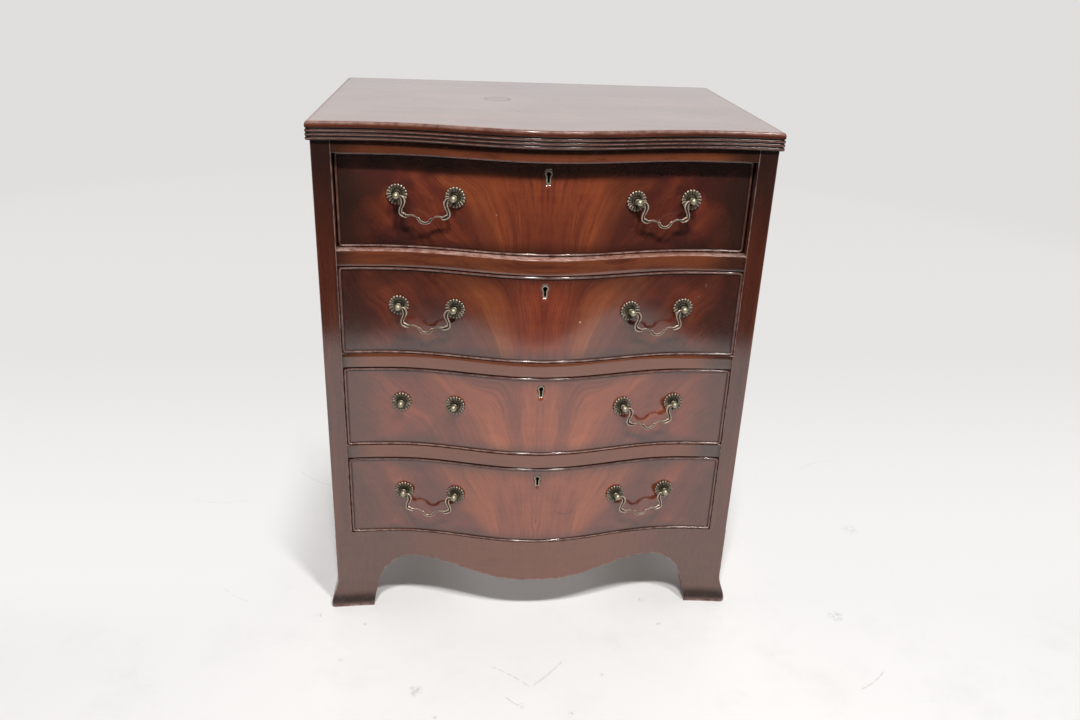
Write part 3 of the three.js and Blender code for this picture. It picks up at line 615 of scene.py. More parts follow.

# %% [markdown]
# Each polished piece has blemishes of its own, read from the photograph: a ring and a bleached face
# on the top, a knot in a divider, browner feet, clouds and scratches on the fronts, and darker tops
# on the stiles, which are painted shade under the top board. A blemish is a function that takes a
# finish and its colour so far.

# %% Blemishes
RING_AT = (-0.0616, 0.0295)
RING_INK = (0.012, 0.006, 0.004)
TOP_RED = (0.13, 0.030, 0.012)
BLEACHED = (0.46, 0.31, 0.255)
KNOT_AT = (-0.0979, 0.5926)
KNOT_YELLOW = (0.40, 0.17, 0.045)
FOOT_BROWN = (0.060, 0.022, 0.0165)
SCUFF_BROWN = (0.044, 0.016, 0.012)
FIRST_SPECK_AT = (-0.0665, 0.642)
SECOND_SPECK_AT = (0.0503, 0.4984)
SECOND_SCRATCHES = (((0.2285, 0.5465), (0.2290, 0.5415)), ((0.2200, 0.5290), (0.2204, 0.5255)))
FOURTH_SCRATCH = ((0.0268, 0.1951), (0.0556, 0.1903), 0.0007, 0.006)


def top_marks(wood, colour):
    """The ring that a wet cup left near the back, a darker left end and a bleached face."""
    x, y, z = wood.xyz
    reach = wood.distance(x, y, RING_AT)
    ring = reach.rise(0.0155, 0.0175) * reach.rise(0.0195, 0.0215, 1.0, 0.0)
    ring = ring + reach.rise(0.012, 0.018, 0.2, 0.0)
    colour = wood.blend(ring * 0.75, colour, RING_INK)
    colour = wood.blend(x.rise(-0.30, -0.10, 0.35, 0.0), colour, TOP_RED)
    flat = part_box("top_board")[1].z
    nosing = (z.rise(flat - 0.0125, flat - 0.0105)
              * z.rise(flat - 0.0001, flat - 0.00002, 0.85, 0.0))
    wood.dull = (ring * 0.42).most(nosing)
    faded = wood.noise(wood.vector(x * 0.7, y, 31.0), 6.5, 5.0, 0.6)
    bleached = faded.rise(0.34, 0.66, 0.1, 0.3) * z.rise(flat - 0.0003, flat - 0.00005)
    return wood.blend(bleached * ring.rise(0.0, 0.6, 1.0, 0.3), colour, BLEACHED)


def lipping_marks(wood, colour):
    """A yellow knot in the first divider."""
    knot = wood.spot(wood.xyz[0], wood.xyz[2], KNOT_AT, 0.007)
    return wood.blend(knot * 0.55, colour, KNOT_YELLOW)


def base_marks(wood, colour):
    """Browner ends and feet, and handling marks that run up and down the feet."""
    x, y, z = wood.xyz
    scuffed = wood.noise(wood.vector(x * 260.0, y * 40.0, z * 34.0), 1.0, 4.0, 0.7)
    away = abs(x).rise(0.10, 0.25)
    colour = wood.blend(away * 0.55, colour, FOOT_BROWN)
    dark = scuffed.rise(0.44, 0.70, 0.0, 0.45) * (away * 0.5 + 0.4)
    return wood.blend(dark, colour, SCUFF_BROWN)


def stile_marks_and_shade(wood, colour):
    """Darker under the top as painted shade, and browner low down, where it meets the feet."""
    z = wood.xyz[2]
    colour = wood.blend(z.rise(0.10, 0.36, 0.45, 0.0), colour, FOOT_BROWN)
    # Painted shade: the top of the stile darkens under the overhang of the top board.
    return wood.blend(z.rise(0.57, 0.735, 0.0, 0.9), colour, DARK_STAIN_AND_SHADE)


def marks_on_first(wood, colour):
    """A dark cloud right of the middle, a paler upper left part and a pale speck."""
    x, _, z = wood.xyz
    cloud = abs(x - 0.125).rise(0.02, 0.065, 0.55, 0.0)
    colour = wood.blend(cloud, colour, FLAME_CLOUD)
    paler = x.rise(-0.285, -0.245) * x.rise(-0.20, -0.13, 1.0, 0.0) * z.rise(0.645, 0.685)
    colour = wood.blend(paler, colour, (1.4, 1.4, 1.4), "MULTIPLY")
    return wood.blend(wood.spot(x, z, FIRST_SPECK_AT, 0.0012), colour, (0.35, 0.24, 0.17))


def marks_on_second(wood, colour):
    """A paler middle, a pale speck below the keyhole and two fine upright scratches."""
    x, _, z = wood.xyz
    colour = wood.blend(abs(x).rise(0.018, 0.055, 1.0, 0.0), colour, (1.45, 1.4, 1.4), "MULTIPLY")
    colour = wood.blend(wood.spot(x, z, SECOND_SPECK_AT, 0.0016), colour, (0.7, 0.6, 0.5))
    for start, end in SECOND_SCRATCHES:
        line = wood.scratch(x, z, start, end, 0.0005)
        colour = wood.blend(line * 0.5, colour, (0.45, 0.33, 0.27))
    return colour


def marks_on_fourth(wood, colour):
    """A dark curved scratch beside the middle."""
    line = wood.scratch(wood.xyz[0], wood.xyz[2], *FOURTH_SCRATCH)
    return wood.blend(line * 0.75, colour, RING_INK)


print("blemishes ready")

# %% [markdown]
# One recipe gives every polished board its own wood. Each board has its own seed, so no two
# share a figure, as in a real chest, and a number from dark to pale, because the rails and the
# base have faded more than the ends of the case.

# %% Polished woods
RAIL_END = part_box("top_rail")[1].x
RAIL_LIGHT = (1.3, 1.0, 1.85, 1.5)

TOP_WOOD = mahogany("top_mahogany", "X", 3.1, 0.55, gloss=0.3, marks=top_marks,
                    relief_share=0.06, smear=0.03)
STILE_WOOD = {side: mahogany(f"{side}_end_mahogany", "Z", seed, 0.1, paler_low=0.15,
                             marks=stile_marks_and_shade)
              for side, seed in (("left", 11.3), ("right", 17.9))}
RAIL_WOOD = [mahogany(f"rail_mahogany_{i}", "X", 23.0 + 7.7 * i, light, gloss=0.22,
                      ends=RAIL_END, marks=lipping_marks if i == 1 else None)
             for i, light in enumerate(RAIL_LIGHT)]
BASE_WOOD = mahogany("base_mahogany", "X", 61.2, 1.35, spread_share=0.6, marks=base_marks)
FOOT_WOOD = mahogany("foot_mahogany", "Y", 67.5, 0.45, spread_share=0.5)
BEAD_WOOD = mahogany("bead_mahogany", "X", 73.1, 0.2, gloss=0.3)
print("finishes:", len(bpy.data.materials))

# %% [markdown]
# The top is one board. Its front edge and both ends are worked with a plane into a rounded
# nosing over three reeds, and its back edge is left square against the wall. The moulding is a
# list of levels, each with how far the edge is drawn in there, and the board is a skin over
# the outline at every level.

# %% Top board
TOP_OVERHANG = 5 * MM
REED_COUNT = 3
REED_PITCH = 4.9 * MM
REED_DEPTH = 1.8 * MM
NOSING_INSET = 3.4 * MM
NOSING_TURN_SHARE = 0.30
TOP_CORNER_RADIUS = 6 * MM
FRONT_CORNER_RADIUS = 1.5 * MM
MOULDING_STEPS = 10
FRONT_STEPS = 160


def top_moulding(low, high):
    """Levels of the moulded edge, as height, inset, wear and dirt."""
    levels = []
    for reed in range(REED_COUNT):
        for t in spread(0, 1, MOULDING_STEPS)[: None if reed == REED_COUNT - 1 else -1]:
            crest = math.sqrt(max(0.0, 1 - (2 * t - 1) ** 2))
            levels.append((low + (reed + t) * REED_PITCH, REED_DEPTH * (1 - crest),
                           0.7 * crest ** 24, 1 - 0.9 * ease(crest, 0.92, 1.0)))
    start = low + REED_COUNT * REED_PITCH
    for t in spread(0, 1, 2 * MOULDING_STEPS)[1:]:
        if t < NOSING_TURN_SHARE:
            inset = REED_DEPTH * (1 - math.sin(math.pi / 2 * t / NOSING_TURN_SHARE))
        else:
            lift = (t - NOSING_TURN_SHARE) / (1 - NOSING_TURN_SHARE)
            inset = NOSING_INSET * (1 - math.sqrt(max(0.0, 1 - lift ** 2.4)))
        levels.append((start + (high - start) * t, inset, 0.5 * ease(t, 0.45, 0.8),
                       1 - 0.8 * ease(t, 0, 0.4)))
    for extra, rubbed in ((1.2, 0.4), (4.0, 0.0), (14.0, 0.0)):
        levels.append((high, NOSING_INSET + extra * MM, rubbed, 0.0))
    return levels


def top_outline(inset, z, back):
    """The board's plan outline at one level of its edge."""
    reach = HALF_CASE + TOP_OVERHANG - inset
    points = []
    for share in spread(-1, 1, FRONT_STEPS):
        x = share * reach
        near_end = max(0.0, (abs(x) - reach + FRONT_CORNER_RADIUS) / FRONT_CORNER_RADIUS)
        turn = FRONT_CORNER_RADIUS * (1 - math.sqrt(max(0.0, 1 - near_end ** 2)))
        points.append((x, HOLLOW_Y + inset - TOP_OVERHANG - bow(share * HALF_CASE) + turn, z))
    side = spread(points[-1][1] + 2 * FRONT_CORNER_RADIUS, back - 2 * TOP_CORNER_RADIUS, 6)
    right = [(reach, y) for y in side]
    right += [(reach - TOP_CORNER_RADIUS * (1 - math.cos(a)),
               back - TOP_CORNER_RADIUS * (1 - math.sin(a))) for a in spread(0, math.pi / 2, 6)]
    rear = back - max(0.0, inset - NOSING_INSET)
    right = [(x, min(y, rear), z) for x, y in right]
    return points + right + [(-x, y, z) for x, y, z in reversed(right)]


def make_top():
    """The top board with its moulded edge."""
    low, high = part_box("top_board")
    levels = top_moulding(low.z, high.z)
    rings = [top_outline(inset, z, high.y) for z, inset, _, _ in levels]
    behind = high.y - 0.5 * MM
    wear, dirt = [], []
    for ring, (_, _, rubbed, soiled) in zip(rings, levels):
        wear += [rubbed if point[1] < behind else 0.2 * rubbed for point in ring]
        dirt += [soiled] * len(ring)
    mesh = lofted("top_board", rings, wear, dirt)
    place("top_board_moulded", mesh, "case", TOP_WOOD, ("top_board",))


make_top()
print("top board:", len(made_pieces[-1].data.polygons), "faces")

# %% [markdown]
# Under the top lie the top rail and the three dividers between the drawers. Only the front strip
# of a divider is mahogany, lipped on to a plain board that fills the depth of the case and
# carries the drawer above. The lipping follows the curve and its two arrises are rubbed round.
# It is a loft whose levels lie close together where an arris turns, so no bevel is needed.

# %% Rail, lippings and drawer boards
ARRIS = 0.9 * MM
ARRIS_STEPS = 4
LIPPING_DEPTH = 30 * MM
STOP_WIDTH = 34 * MM
STOP_DEPTH = 12 * MM
STOP_GAP = 0.3 * MM
DRAWER_CLEARANCE = 1.2 * MM


def rail_levels(low, high):
    """Heights, insets and wear of an edge whose two arrises are rounded."""
    turn = [(ARRIS * (1 - math.cos(a)), ARRIS * (1 - math.sin(a)), 1 - i / ARRIS_STEPS)
            for i, a in enumerate(spread(0, math.pi / 2, ARRIS_STEPS))]
    return ([(low + up, inset, rubbed) for up, inset, rubbed in turn]
            + [(low + (high - low) * share, 0.0, 0.0) for share in (0.3, 0.5, 0.7)]
            + [(high - up, inset, rubbed) for up, inset, rubbed in reversed(turn)])


def curved_rail(name, low, high, back, half, lower_wear, upper_wear, overhang_shade=0.0):
    """A rail with a flat back whose front edge follows the serpentine.

    Its last argument sets painted shade on its upper part and its ends, the left one from further
    in, under the top's overhang.
    """
    rings, wear, dirt = [], [], []
    for z, inset, rubbed in rail_levels(low, high):
        front = [(x, HOLLOW_Y + inset - bow(x), z) for x in spread(-half, half, FRONT_STEPS)]
        rings.append(front + [(half, back, z), (-half, back, z)])
        share = lower_wear if z < (low + high) / 2 else upper_wear
        wear += [share * rubbed] * len(front) + [0.0, 0.0]
        # Painted shade under the top's overhang: darker towards the rail's upper edge and its ends.
        painted_overhang_shade = overhang_shade * ease((z - low) / (high - low), 0.2, 0.8)
        dirt += [max(painted_overhang_shade, 0.5 * ease(abs(x), half - 6 * MM, half),
                     0.4 * overhang_shade * ease(abs(x - 60 * MM), 170 * MM, 215 * MM))
                 for x, _, _ in front] + [0.0, 0.0]
    return lofted(name, rings, wear, dirt)


def make_rails():
    """The top rail, the lippings and the boards behind them, with the drawer stops."""
    low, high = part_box("top_rail")
    # The last number is the painted shade under the top.
    mesh = curved_rail("top_rail", low.z, high.z, high.y, high.x, 0.45, 0.0, 0.95)
    place("top_rail_polished", mesh, "case", RAIL_WOOD[0], ("top_rail",))
    joint = HOLLOW_Y + LIPPING_DEPTH
    for i, upper_wear in ((1, 1.0), (2, 0.75), (3, 0.75)):
        node = f"divider_{i}"
        low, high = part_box(node)
        front_low, front_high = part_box(f"drawer_{i}_front")
        rail_top = front_low.z - DRAWER_CLEARANCE
        mesh = curved_rail(node, low.z, rail_top, joint, RAIL_END, 0.05, upper_wear)
        place(f"{node}_lipping", mesh, "case", RAIL_WOOD[i], (node,))
        parts = [block((low.x, joint, low.z), (high.x, high.y, rail_top))]
        if high.z > rail_top + MM:
            near = front_high.y + STOP_GAP
            parts += [block((x - STOP_WIDTH / 2, near, rail_top - MM),
                            (x + STOP_WIDTH / 2, near + STOP_DEPTH, high.z))
                      for x in (-HOLLOW_X, HOLLOW_X)]
        place(f"{node}_board", joined_mesh(node, parts), "case", CARCASE)


make_rails()
print("rails:", len(made_pieces) - 1, "pieces")

# %% [markdown]
# The ends of the case are solid boards. Their front edges show as stiles beside the drawers and
# carry the last of the curve, and both front arrises are rubbed pale. An end keeps its shape
# all the way up, so one plan outline is drawn straight up through a few levels.

# %% Case ends
END_ARRIS = 1.4 * MM
END_WEAR = 0.55
STILE_STEPS = 8


def make_ends():
    """Both solid ends, each a plan outline drawn straight up."""
    turn = [(END_ARRIS * (1 - math.sin(a)), END_ARRIS * (1 - math.cos(a)))
            for a in spread(0, math.pi / 2, 5)]
    for side, sign in SIDES:
        low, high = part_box(f"side_{side}")
        inner = min(abs(low.x), abs(high.x))
        front = [(x, HOLLOW_Y - bow(x))
                 for x in spread(inner + END_ARRIS, HALF_CASE - END_ARRIS, STILE_STEPS)]
        inner_y, outer_y = front[0][1], front[-1][1]
        plan = [(inner + aside, inner_y + back) for aside, back in reversed(turn)] + front[1:-1]
        plan += [(HALF_CASE - aside, outer_y + back) for aside, back in turn]
        plan += [(HALF_CASE, y) for y in spread(outer_y + 8 * MM, high.y, 6)]
        plan += [(inner, high.y), (inner, inner_y + 8 * MM)]
        rubbed = [0, 1, 1, 1, 1, 0] + [0] * (STILE_STEPS - 1) + [0, 0.6, 1, 1, 0.6, 0]
        rubbed += [0] * (len(plan) - len(rubbed))
        rings = [[(sign * x, y, z) for x, y in plan] for z in spread(low.z, high.z, 24)]
        mesh = lofted(f"side_{side}", rings, [END_WEAR * value for value in rubbed] * len(rings))
        place(f"side_{side}_polished", mesh, "case", STILE_WOOD[side],
              (f"side_{side}",))


make_ends()
print("ends:", made_pieces[-1].name, len(made_pieces[-1].data.polygons), "faces")

# %% [markdown]
# The base is a plinth of three boards. The front one is cut to a shaped apron and keeps a bracket
# foot at each end, and below knee height the feet sweep out to a toe on both free sides. Each
# board is a grid: columns follow its lower line, and rows climb from it to the case.

# %% Lower edge of the base
BASE_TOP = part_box("base_front")[1].z
APRON_LOW = 67 * MM
APRON_FLAT = 30 * MM
ARCH_TOP = 92.5 * MM
ARCH_CREST = 188 * MM
FOOT_WIDTH = 60.5 * MM
FOOT_STRAIGHT = 30 * MM
FOOT_LEAN = 1.5 * MM
FOOT_INNER = HALF_CASE - FOOT_WIDTH - FOOT_LEAN
TOE_HEIGHT = 52 * MM
TOE_SIDE_SWEEP = 12.5 * MM
TOE_CORNER = 7 * MM
SOLE_ROUND = 1.2 * MM
BASE_ROWS = [0.0, 0.008, 0.02] + spread(0.045, 0.42, 14) + spread(0.5, 0.97, 6) + [0.993, 1.0]


def toe_share(z):
    """How much of its sweep a toe has at a height."""
    return 0.0 if z > TOE_HEIGHT else (1 + math.cos(math.pi * z / TOE_HEIGHT)) / 2


def sole_inset(row):
    """Draws the lowest rows in, to round the worn lower edge."""
    return SOLE_ROUND * (1 - ease(row, 0.0, 0.022))


def row_height(column, row):
    """How high a row lies in a column, which is a place along the board and its lowest point."""
    return column[1] + (BASE_TOP - column[1]) * row


def sole_wear(column, row):
    """Pale right at the floor, where the feet are knocked and dragged."""
    return 1 - ease(row_height(column, row), 2 * MM, 5 * MM)


def foot_dirt(column, row):
    """Dust above the worn sole, where a mop leaves it."""
    z = row_height(column, row)
    return 0.9 * ease(z, 4 * MM, 8 * MM) * (1 - ease(z, 16 * MM, 30 * MM))


def arch_line(run):
    """A quarter arch down to the straight inner edge of a foot, as across and height."""
    curve = [(run * math.sin(a), FOOT_STRAIGHT + (ARCH_TOP - FOOT_STRAIGHT) * math.cos(a))
             for a in spread(0, math.pi / 2, 22)]
    return curve + [(run + FOOT_LEAN * (1 - t), FOOT_STRAIGHT * t) for t in spread(0.85, 0, 6)]


def base_columns():
    """The lower line of the base front from the left corner to the right one."""
    edge = [(x, APRON_LOW) for x in spread(0, APRON_FLAT, 6)[:-1]]
    for t in spread(0, 1, 44)[:-1]:
        lift = (1 - math.cos(math.pi * t)) / 2
        edge.append((APRON_FLAT + (ARCH_CREST - APRON_FLAT) * t,
                     APRON_LOW + (ARCH_TOP - APRON_LOW) * lift))
    edge += [(ARCH_CREST + run, z) for run, z in arch_line(FOOT_INNER - ARCH_CREST)]
    edge += [(x, 0.0) for x in spread(FOOT_INNER + 3 * MM, HALF_CASE - TOE_CORNER, 8)]
    edge += [(HALF_CASE - TOE_CORNER * (1 - t), 0.0) for t in (0.3, 0.55, 0.75, 0.9, 0.97, 1.0)]
    return [(-x, z) for x, z in reversed(edge[1:])] + edge


print("lower edge of the base front:", len(base_columns()), "points")

# %% [markdown]
# The front board is bent to the serpentine and its toes sweep forward and outwards. The sweep
# could be carved from a thicker board, but moving each row of the grid outwards by a smooth
# share of its height gives the same line and keeps the faces even.

# %% Base front
BASE_WEB = 16 * MM
TOE_FRONT_SWEEP = 5 * MM
TOE_INNER_SHARE = 0.48


def make_base_front():
    """Apron and front feet in one board."""
    def swept(column, row, depth):
        """A point so far behind the hollow line, moved outwards by the sweep of its toe."""
        x, z = column[0], row_height(column, row)
        outward = max(0.0, (abs(x) - FOOT_INNER) / (HALF_CASE - FOOT_INNER))
        share = toe_share(z) * (TOE_INNER_SHARE + (1 - TOE_INNER_SHARE) * outward)
        reach = TOE_SIDE_SWEEP * share - (sole_inset(row) if outward >= 0.99 else 0.0)
        return (x + math.copysign(1, x) * reach, HOLLOW_Y + depth, z)

    def outer(column, row):
        across = abs(column[0])
        turn = min(1.0, max(0.0, (across - HALF_CASE + TOE_CORNER) / TOE_CORNER))
        rounding = TOE_CORNER * (1 - math.sqrt(1 - turn ** 2))
        sweep = toe_share(row_height(column, row)) * (rounding - TOE_FRONT_SWEEP)
        return swept(column, row, sweep - bow(across) + sole_inset(row))

    def inner(column, row):
        across = abs(column[0])
        return swept(column, row, BASE_WEB - (bow(across) if across < HOLLOW_X else 0.0))

    def wear(column, row):
        corner = 0.4 * ease(abs(column[0]), HALF_CASE - 3 * MM, HALF_CASE)
        return max(sole_wear(column, row), 1 - ease(row, 0.03, 0.05), corner)

    mesh = slab("base_front", base_columns(), BASE_ROWS, outer, inner, wear, foot_dirt)
    place("base_front_shaped", mesh, "case", BASE_WOOD, ("base_front",))


make_base_front()
print("base front:", len(made_pieces[-1].data.polygons), "faces")

# %% [markdown]
# The side boards are straight, so their grid only needs the arches and the sweep of the toes.
# Both come from one list of columns, mirrored by a sign.

# %% Base sides
SIDE_ARCH_RUN = 55 * MM
BASE_THICKNESS = 20 * MM


def make_base_sides():
    """The two side boards, each with a front and a rear bracket foot."""
    near, far = (corner.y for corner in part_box("base_side_right"))
    arch = arch_line(SIDE_ARCH_RUN)
    start = near + FOOT_WIDTH - FOOT_LEAN + SIDE_ARCH_RUN
    end = far - FOOT_WIDTH + FOOT_LEAN - SIDE_ARCH_RUN
    columns = [(near + step * MM, 0.0) for step in (0, 20, 40)]
    columns += [(start - run, z) for run, z in reversed(arch)]
    columns += [(y, ARCH_TOP) for y in spread(start, end, 10)[1:-1]]
    columns += [(end + run, z) for run, z in arch]
    columns += [(far - step * MM, 0.0) for step in (40, 20, 0)]

    def wear(column, row):
        return max(sole_wear(column, row), 0.7 * (1 - ease(row, 0.004, 0.022)))

    for side, sign in SIDES:
        def outer(column, row):
            z = row_height(column, row)
            reach = HALF_CASE + TOE_SIDE_SWEEP * toe_share(z) - sole_inset(row)
            return (sign * reach, column[0], z)

        def inner(column, row):
            return (sign * (HALF_CASE - BASE_THICKNESS), column[0], row_height(column, row))

        node = f"base_side_{side}"
        mesh = slab(node, columns, BASE_ROWS, outer, inner, wear, foot_dirt)
        place(f"{node}_shaped", mesh, "case", FOOT_WOOD, (node,))


make_base_sides()
print("base sides:", [piece.name for piece in made_pieces[-2:]])

# %% [markdown]
# Geometry Nodes suit whatever repeats or follows a rule. Each tree here is built with named
# inputs, used on a small object, and turned into a plain mesh. The next cell holds the parts
# that the three trees share.

# %% Geometry Nodes helpers
class Tree(Graph):
    """A Geometry Nodes tree with named inputs, which end in its material."""

    def __init__(self, name, inputs):
        super().__init__(bpy.data.node_groups.new(name, "GeometryNodeTree"))
        face = self.tree.interface
        for label, kind in (("Geometry", "Geometry"), *inputs, ("Material", "Material")):
            face.new_socket(label, in_out="INPUT", socket_type="NodeSocket" + kind)
        face.new_socket("Geometry", in_out="OUTPUT", socket_type="NodeSocketGeometry")
        source = self.tree.nodes.new("NodeGroupInput")
        self.result = self.tree.nodes.new("NodeGroupOutput")
        self.given = {output.name: Value(self, output) for output in source.outputs}

    def end(self, geometry):
        """Realizes what was instanced and sets the finish."""
        real = self.add("GeometryNodeRealizeInstances", {0: geometry})
        done = self.add("GeometryNodeSetMaterial",
                        {"Geometry": real, "Material": self.given["Material"]})
        self.fill(self.result.inputs[0], done)
        return self.tree


def baked(carrier):
    """A plain mesh of what an object's modifiers make. The object goes."""
    graph = bpy.context.evaluated_depsgraph_get()
    mesh = bpy.data.meshes.new_from_object(carrier.evaluated_get(graph), depsgraph=graph)
    bpy.data.objects.remove(carrier)
    return mesh


def mesh_by_nodes(name, tree, start, **values):
    """Runs a tree on a start mesh with the named inputs and returns a plain mesh."""
    carrier = put(name, start)
    modifier = carrier.modifiers.new(name, "NODES")
    modifier.node_group = tree
    for item in tree.interface.items_tree:
        label = item.name.replace(" ", "_").lower()
        if item.in_out == "INPUT" and label in values:
            modifier[item.identifier] = values[label]
    carrier.update_tag()
    return baked(carrier)


print("tree helper ready")

# %% [markdown]
# A cock bead is a thin strip let into the edge of a drawer front and left standing proud, to
# save the veneer from chips. One tree makes it: a rounded rectangle as big as the front is
# swept with a rounded section, and each point is then moved forward by the same serpentine rule.

# %% Cock bead
BEAD_WIDTH = 3.2 * MM
BEAD_PROUD = 1.8 * MM
BEAD_SUNK = 4.0 * MM
BEAD_STEP = 5 * MM
BEAD_INPUTS = ("Width", "Height", "Bead Width", "Bead Depth", "Bow Depth", "Ear Depth", "Hollow",
               "Half Case", "Step")


def bead_tree():
    """A bead round a drawer front, bent to the serpentine."""
    tree = Tree("cock bead", [(label, "Float") for label in BEAD_INPUTS])
    width, height, bead_width, bead_depth, bow_depth, ear_depth, hollow, half_case, step = (
        tree.given[label] for label in BEAD_INPUTS)

    def rounded(across, up, radius, count):
        """A rectangle with rounded corners."""
        box = tree.add("GeometryNodeCurvePrimitiveQuadrilateral", {"Width": across, "Height": up})
        inputs = {"Curve": box, "Radius": radius, "Count": count}
        return tree.add("GeometryNodeFilletCurve", inputs, mode="POLY")

    path = rounded(width, height, bead_width * 0.52, 3)
    path = tree.add("GeometryNodeResampleCurve", {"Curve": path, "Length": step}, mode="LENGTH")
    path = tree.add("GeometryNodeSetCurveNormal", {"Curve": path}, mode="Z_UP")
    section = rounded(bead_width, bead_depth, bead_width * 0.44, 5)
    strip = tree.add("GeometryNodeCurveToMesh", {"Curve": path, "Profile Curve": section})
    upright = tree.add("GeometryNodeTransform",
                       {"Geometry": strip, "Rotation": (math.pi / 2, 0.0, 0.0)})
    across = abs(tree.split(tree.add("GeometryNodeInputPosition"))[0])
    middle = ((across / hollow * math.pi).cosine() + 1.0) * (bow_depth * 0.5)
    beyond = (across - hollow) / (half_case - hollow)
    ear = ear_depth * (beyond * beyond)
    forward = tree.add("ShaderNodeMix", {0: across.below(hollow), 2: ear, 3: middle})
    offset = tree.vector(0.0, forward * -1.0, 0.0)
    return tree.end(tree.add("GeometryNodeSetPosition", {"Geometry": upright, "Offset": offset}))


def make_bead(body, low, high, hollow):
    """The cock bead of one drawer, pale on its crest and dark where it meets the veneer."""
    bead = mesh_by_nodes(
        f"{body}_bead", BEAD_TREE, bpy.data.meshes.new("start"), width=2 * high.x - BEAD_WIDTH,
        height=high.z - low.z - BEAD_WIDTH, bead_width=BEAD_WIDTH,
        bead_depth=BEAD_PROUD + BEAD_SUNK, bow_depth=BOW_DEPTH, ear_depth=EAR_DEPTH,
        hollow=HOLLOW_X, half_case=HALF_CASE, step=BEAD_STEP, material=BEAD_WOOD)
    bead.transform(Matrix.Translation((0, hollow + (BEAD_SUNK - BEAD_PROUD) / 2,
                                       (low.z + high.z) / 2)))
    wear, dirt = [], []
    for x, y, z in (v.co for v in bead.vertices):
        depth = y + bow(x) - hollow + BEAD_PROUD
        lower, upper = z < low.z + BEAD_WIDTH + MM, z > high.z - BEAD_WIDTH - MM
        share = 0.95 if lower else 0.5 if upper else 0.22
        wear.append(share * (1 - ease(depth, 0.02 * MM, 0.5 * MM)))
        dirt.append(0.9 * ease(depth, 0.5 * MM, 1.4 * MM))
    mark(bead, wear, dirt)
    place(f"{body}_cock_bead", clean_mesh(bead), body, BEAD_WOOD)


BEAD_TREE = bead_tree()
print("cock bead tree:", len(BEAD_TREE.nodes), "nodes")

# %% [markdown]
# A keyhole has a round head over a straight tail. It is cut right through the front with a
# boolean, which leaves clean walls and is quicker than building the front round a hole. A brass
# liner of the same shape is pressed in and stands a hair proud of the veneer.

# %% Keyhole and liner
KEYHOLE_PLAY = 0.15 * MM
LINER_RADIUS = 4.85 * MM
LINER_HEIGHT = 17.6 * MM
LINER_TAIL_WIDTH = 6.6 * MM
LINER_WALL = 1.9 * MM
LINER_DEPTH = 5 * MM
LINER_PROUD = 0.45 * MM
KEYHOLE_STEPS = 22
LINER_SECTION = [(0.0, LINER_DEPTH, 0, 0), (0.0, 0.35 * MM, 0, 0), (0.12 * MM, 0.1 * MM, 0.6, 0),
                 (0.4 * MM, 0.0, 1, 0), (LINER_WALL - 0.4 * MM, 0.0, 1, 0),
                 (LINER_WALL - 0.1 * MM, 0.15 * MM, 0.2, 0.9), (LINER_WALL, 0.5 * MM, 0, 1),
                 (LINER_WALL, LINER_DEPTH, 0, 1)]


def keyhole_ring(shrink, y, centre):
    """A round head over a straight tail, standing in the front's middle at one depth."""
    radius = LINER_RADIUS - shrink
    tail = LINER_TAIL_WIDTH / 2 - shrink
    foot = -LINER_HEIGHT / 2 + shrink
    head = LINER_HEIGHT / 2 - LINER_RADIUS
    start = -math.pi / 2 + math.asin(tail / radius)
    arc = [(radius * math.cos(a), head + radius * math.sin(a))
           for a in spread(start, math.pi - start, KEYHOLE_STEPS)]
    soft = tail * 0.45
    left = [(-tail, foot + soft), (-tail + soft * 0.3, foot + soft * 0.3), (-tail + soft, foot)]
    outline = arc + left + [(-x, z) for x, z in reversed(left)]
    return [(x, y, centre + z) for x, z in outline]


def cut_keyhole(mesh, centre, face, thickness):
    """The front with its keyhole cut through."""
    rings = [keyhole_ring(-KEYHOLE_PLAY, y, centre)
             for y in (face - 10 * MM, face + thickness + 10 * MM)]
    cutter = put("keyhole", lofted("keyhole", rings))
    board = put("front", mesh)
    modifier = board.modifiers.new("keyhole", "BOOLEAN")
    modifier.object = cutter
    modifier.solver = "EXACT"
    result = baked(board)
    bpy.data.objects.remove(cutter)
    return result


def make_liner(body, face, keyhole):
    """The brass liner of one keyhole, a loop of the hole's shape."""
    rings = [keyhole_ring(shrink, face - LINER_PROUD + depth, keyhole)
             for shrink, depth, _, _ in LINER_SECTION]
    marks = per_ring(LINER_SECTION, len(rings[0]))
    liner = lofted("liner", rings, *marks, closed_loop=True)
    place(f"{body}_keyhole_liner", liner, body, LINER_BRASS, (f"{body}_escutcheon",))


print("keyhole outline:", len(keyhole_ring(0.0, 0.0, 0.0)), "points")

# %% [markdown]
# A drawer front is a thick curved board, veneered on its face. Its grid has extra lines close to
# the edges, where the bead's shadow falls, so that the shade painted there can fade within 2 mm.
# All four fronts follow one rule, and a short row of numbers gives each its own looks.

# %% Drawer fronts
FRONT_INSET = 0.5 * MM
FRONT_ROWS = 14
FRONT_COLUMNS = 150
FRONT_MARGIN = 8 * MM
KEYHOLE_DROP = 22 * MM
# For each front: lift, painted shade along its top edge, darker ends, contrast and marks.
FRONT_LOOKS = {1: (1.12, 0.88, 0.9, 1.0, marks_on_first),
               2: (1.0, 0.3, 0.62, 0.9, marks_on_second),
               3: (1.6, 0.2, 0.55, 0.85, None),
               4: (1.5, 0.2, 0.55, 0.85, marks_on_fourth)}


def with_margins(values, low, high, margins):
    """Values between two ends, with extra ones close to each end."""
    return ([low] + [low + d for d in margins] + values
            + [high - d for d in reversed(margins)] + [high])


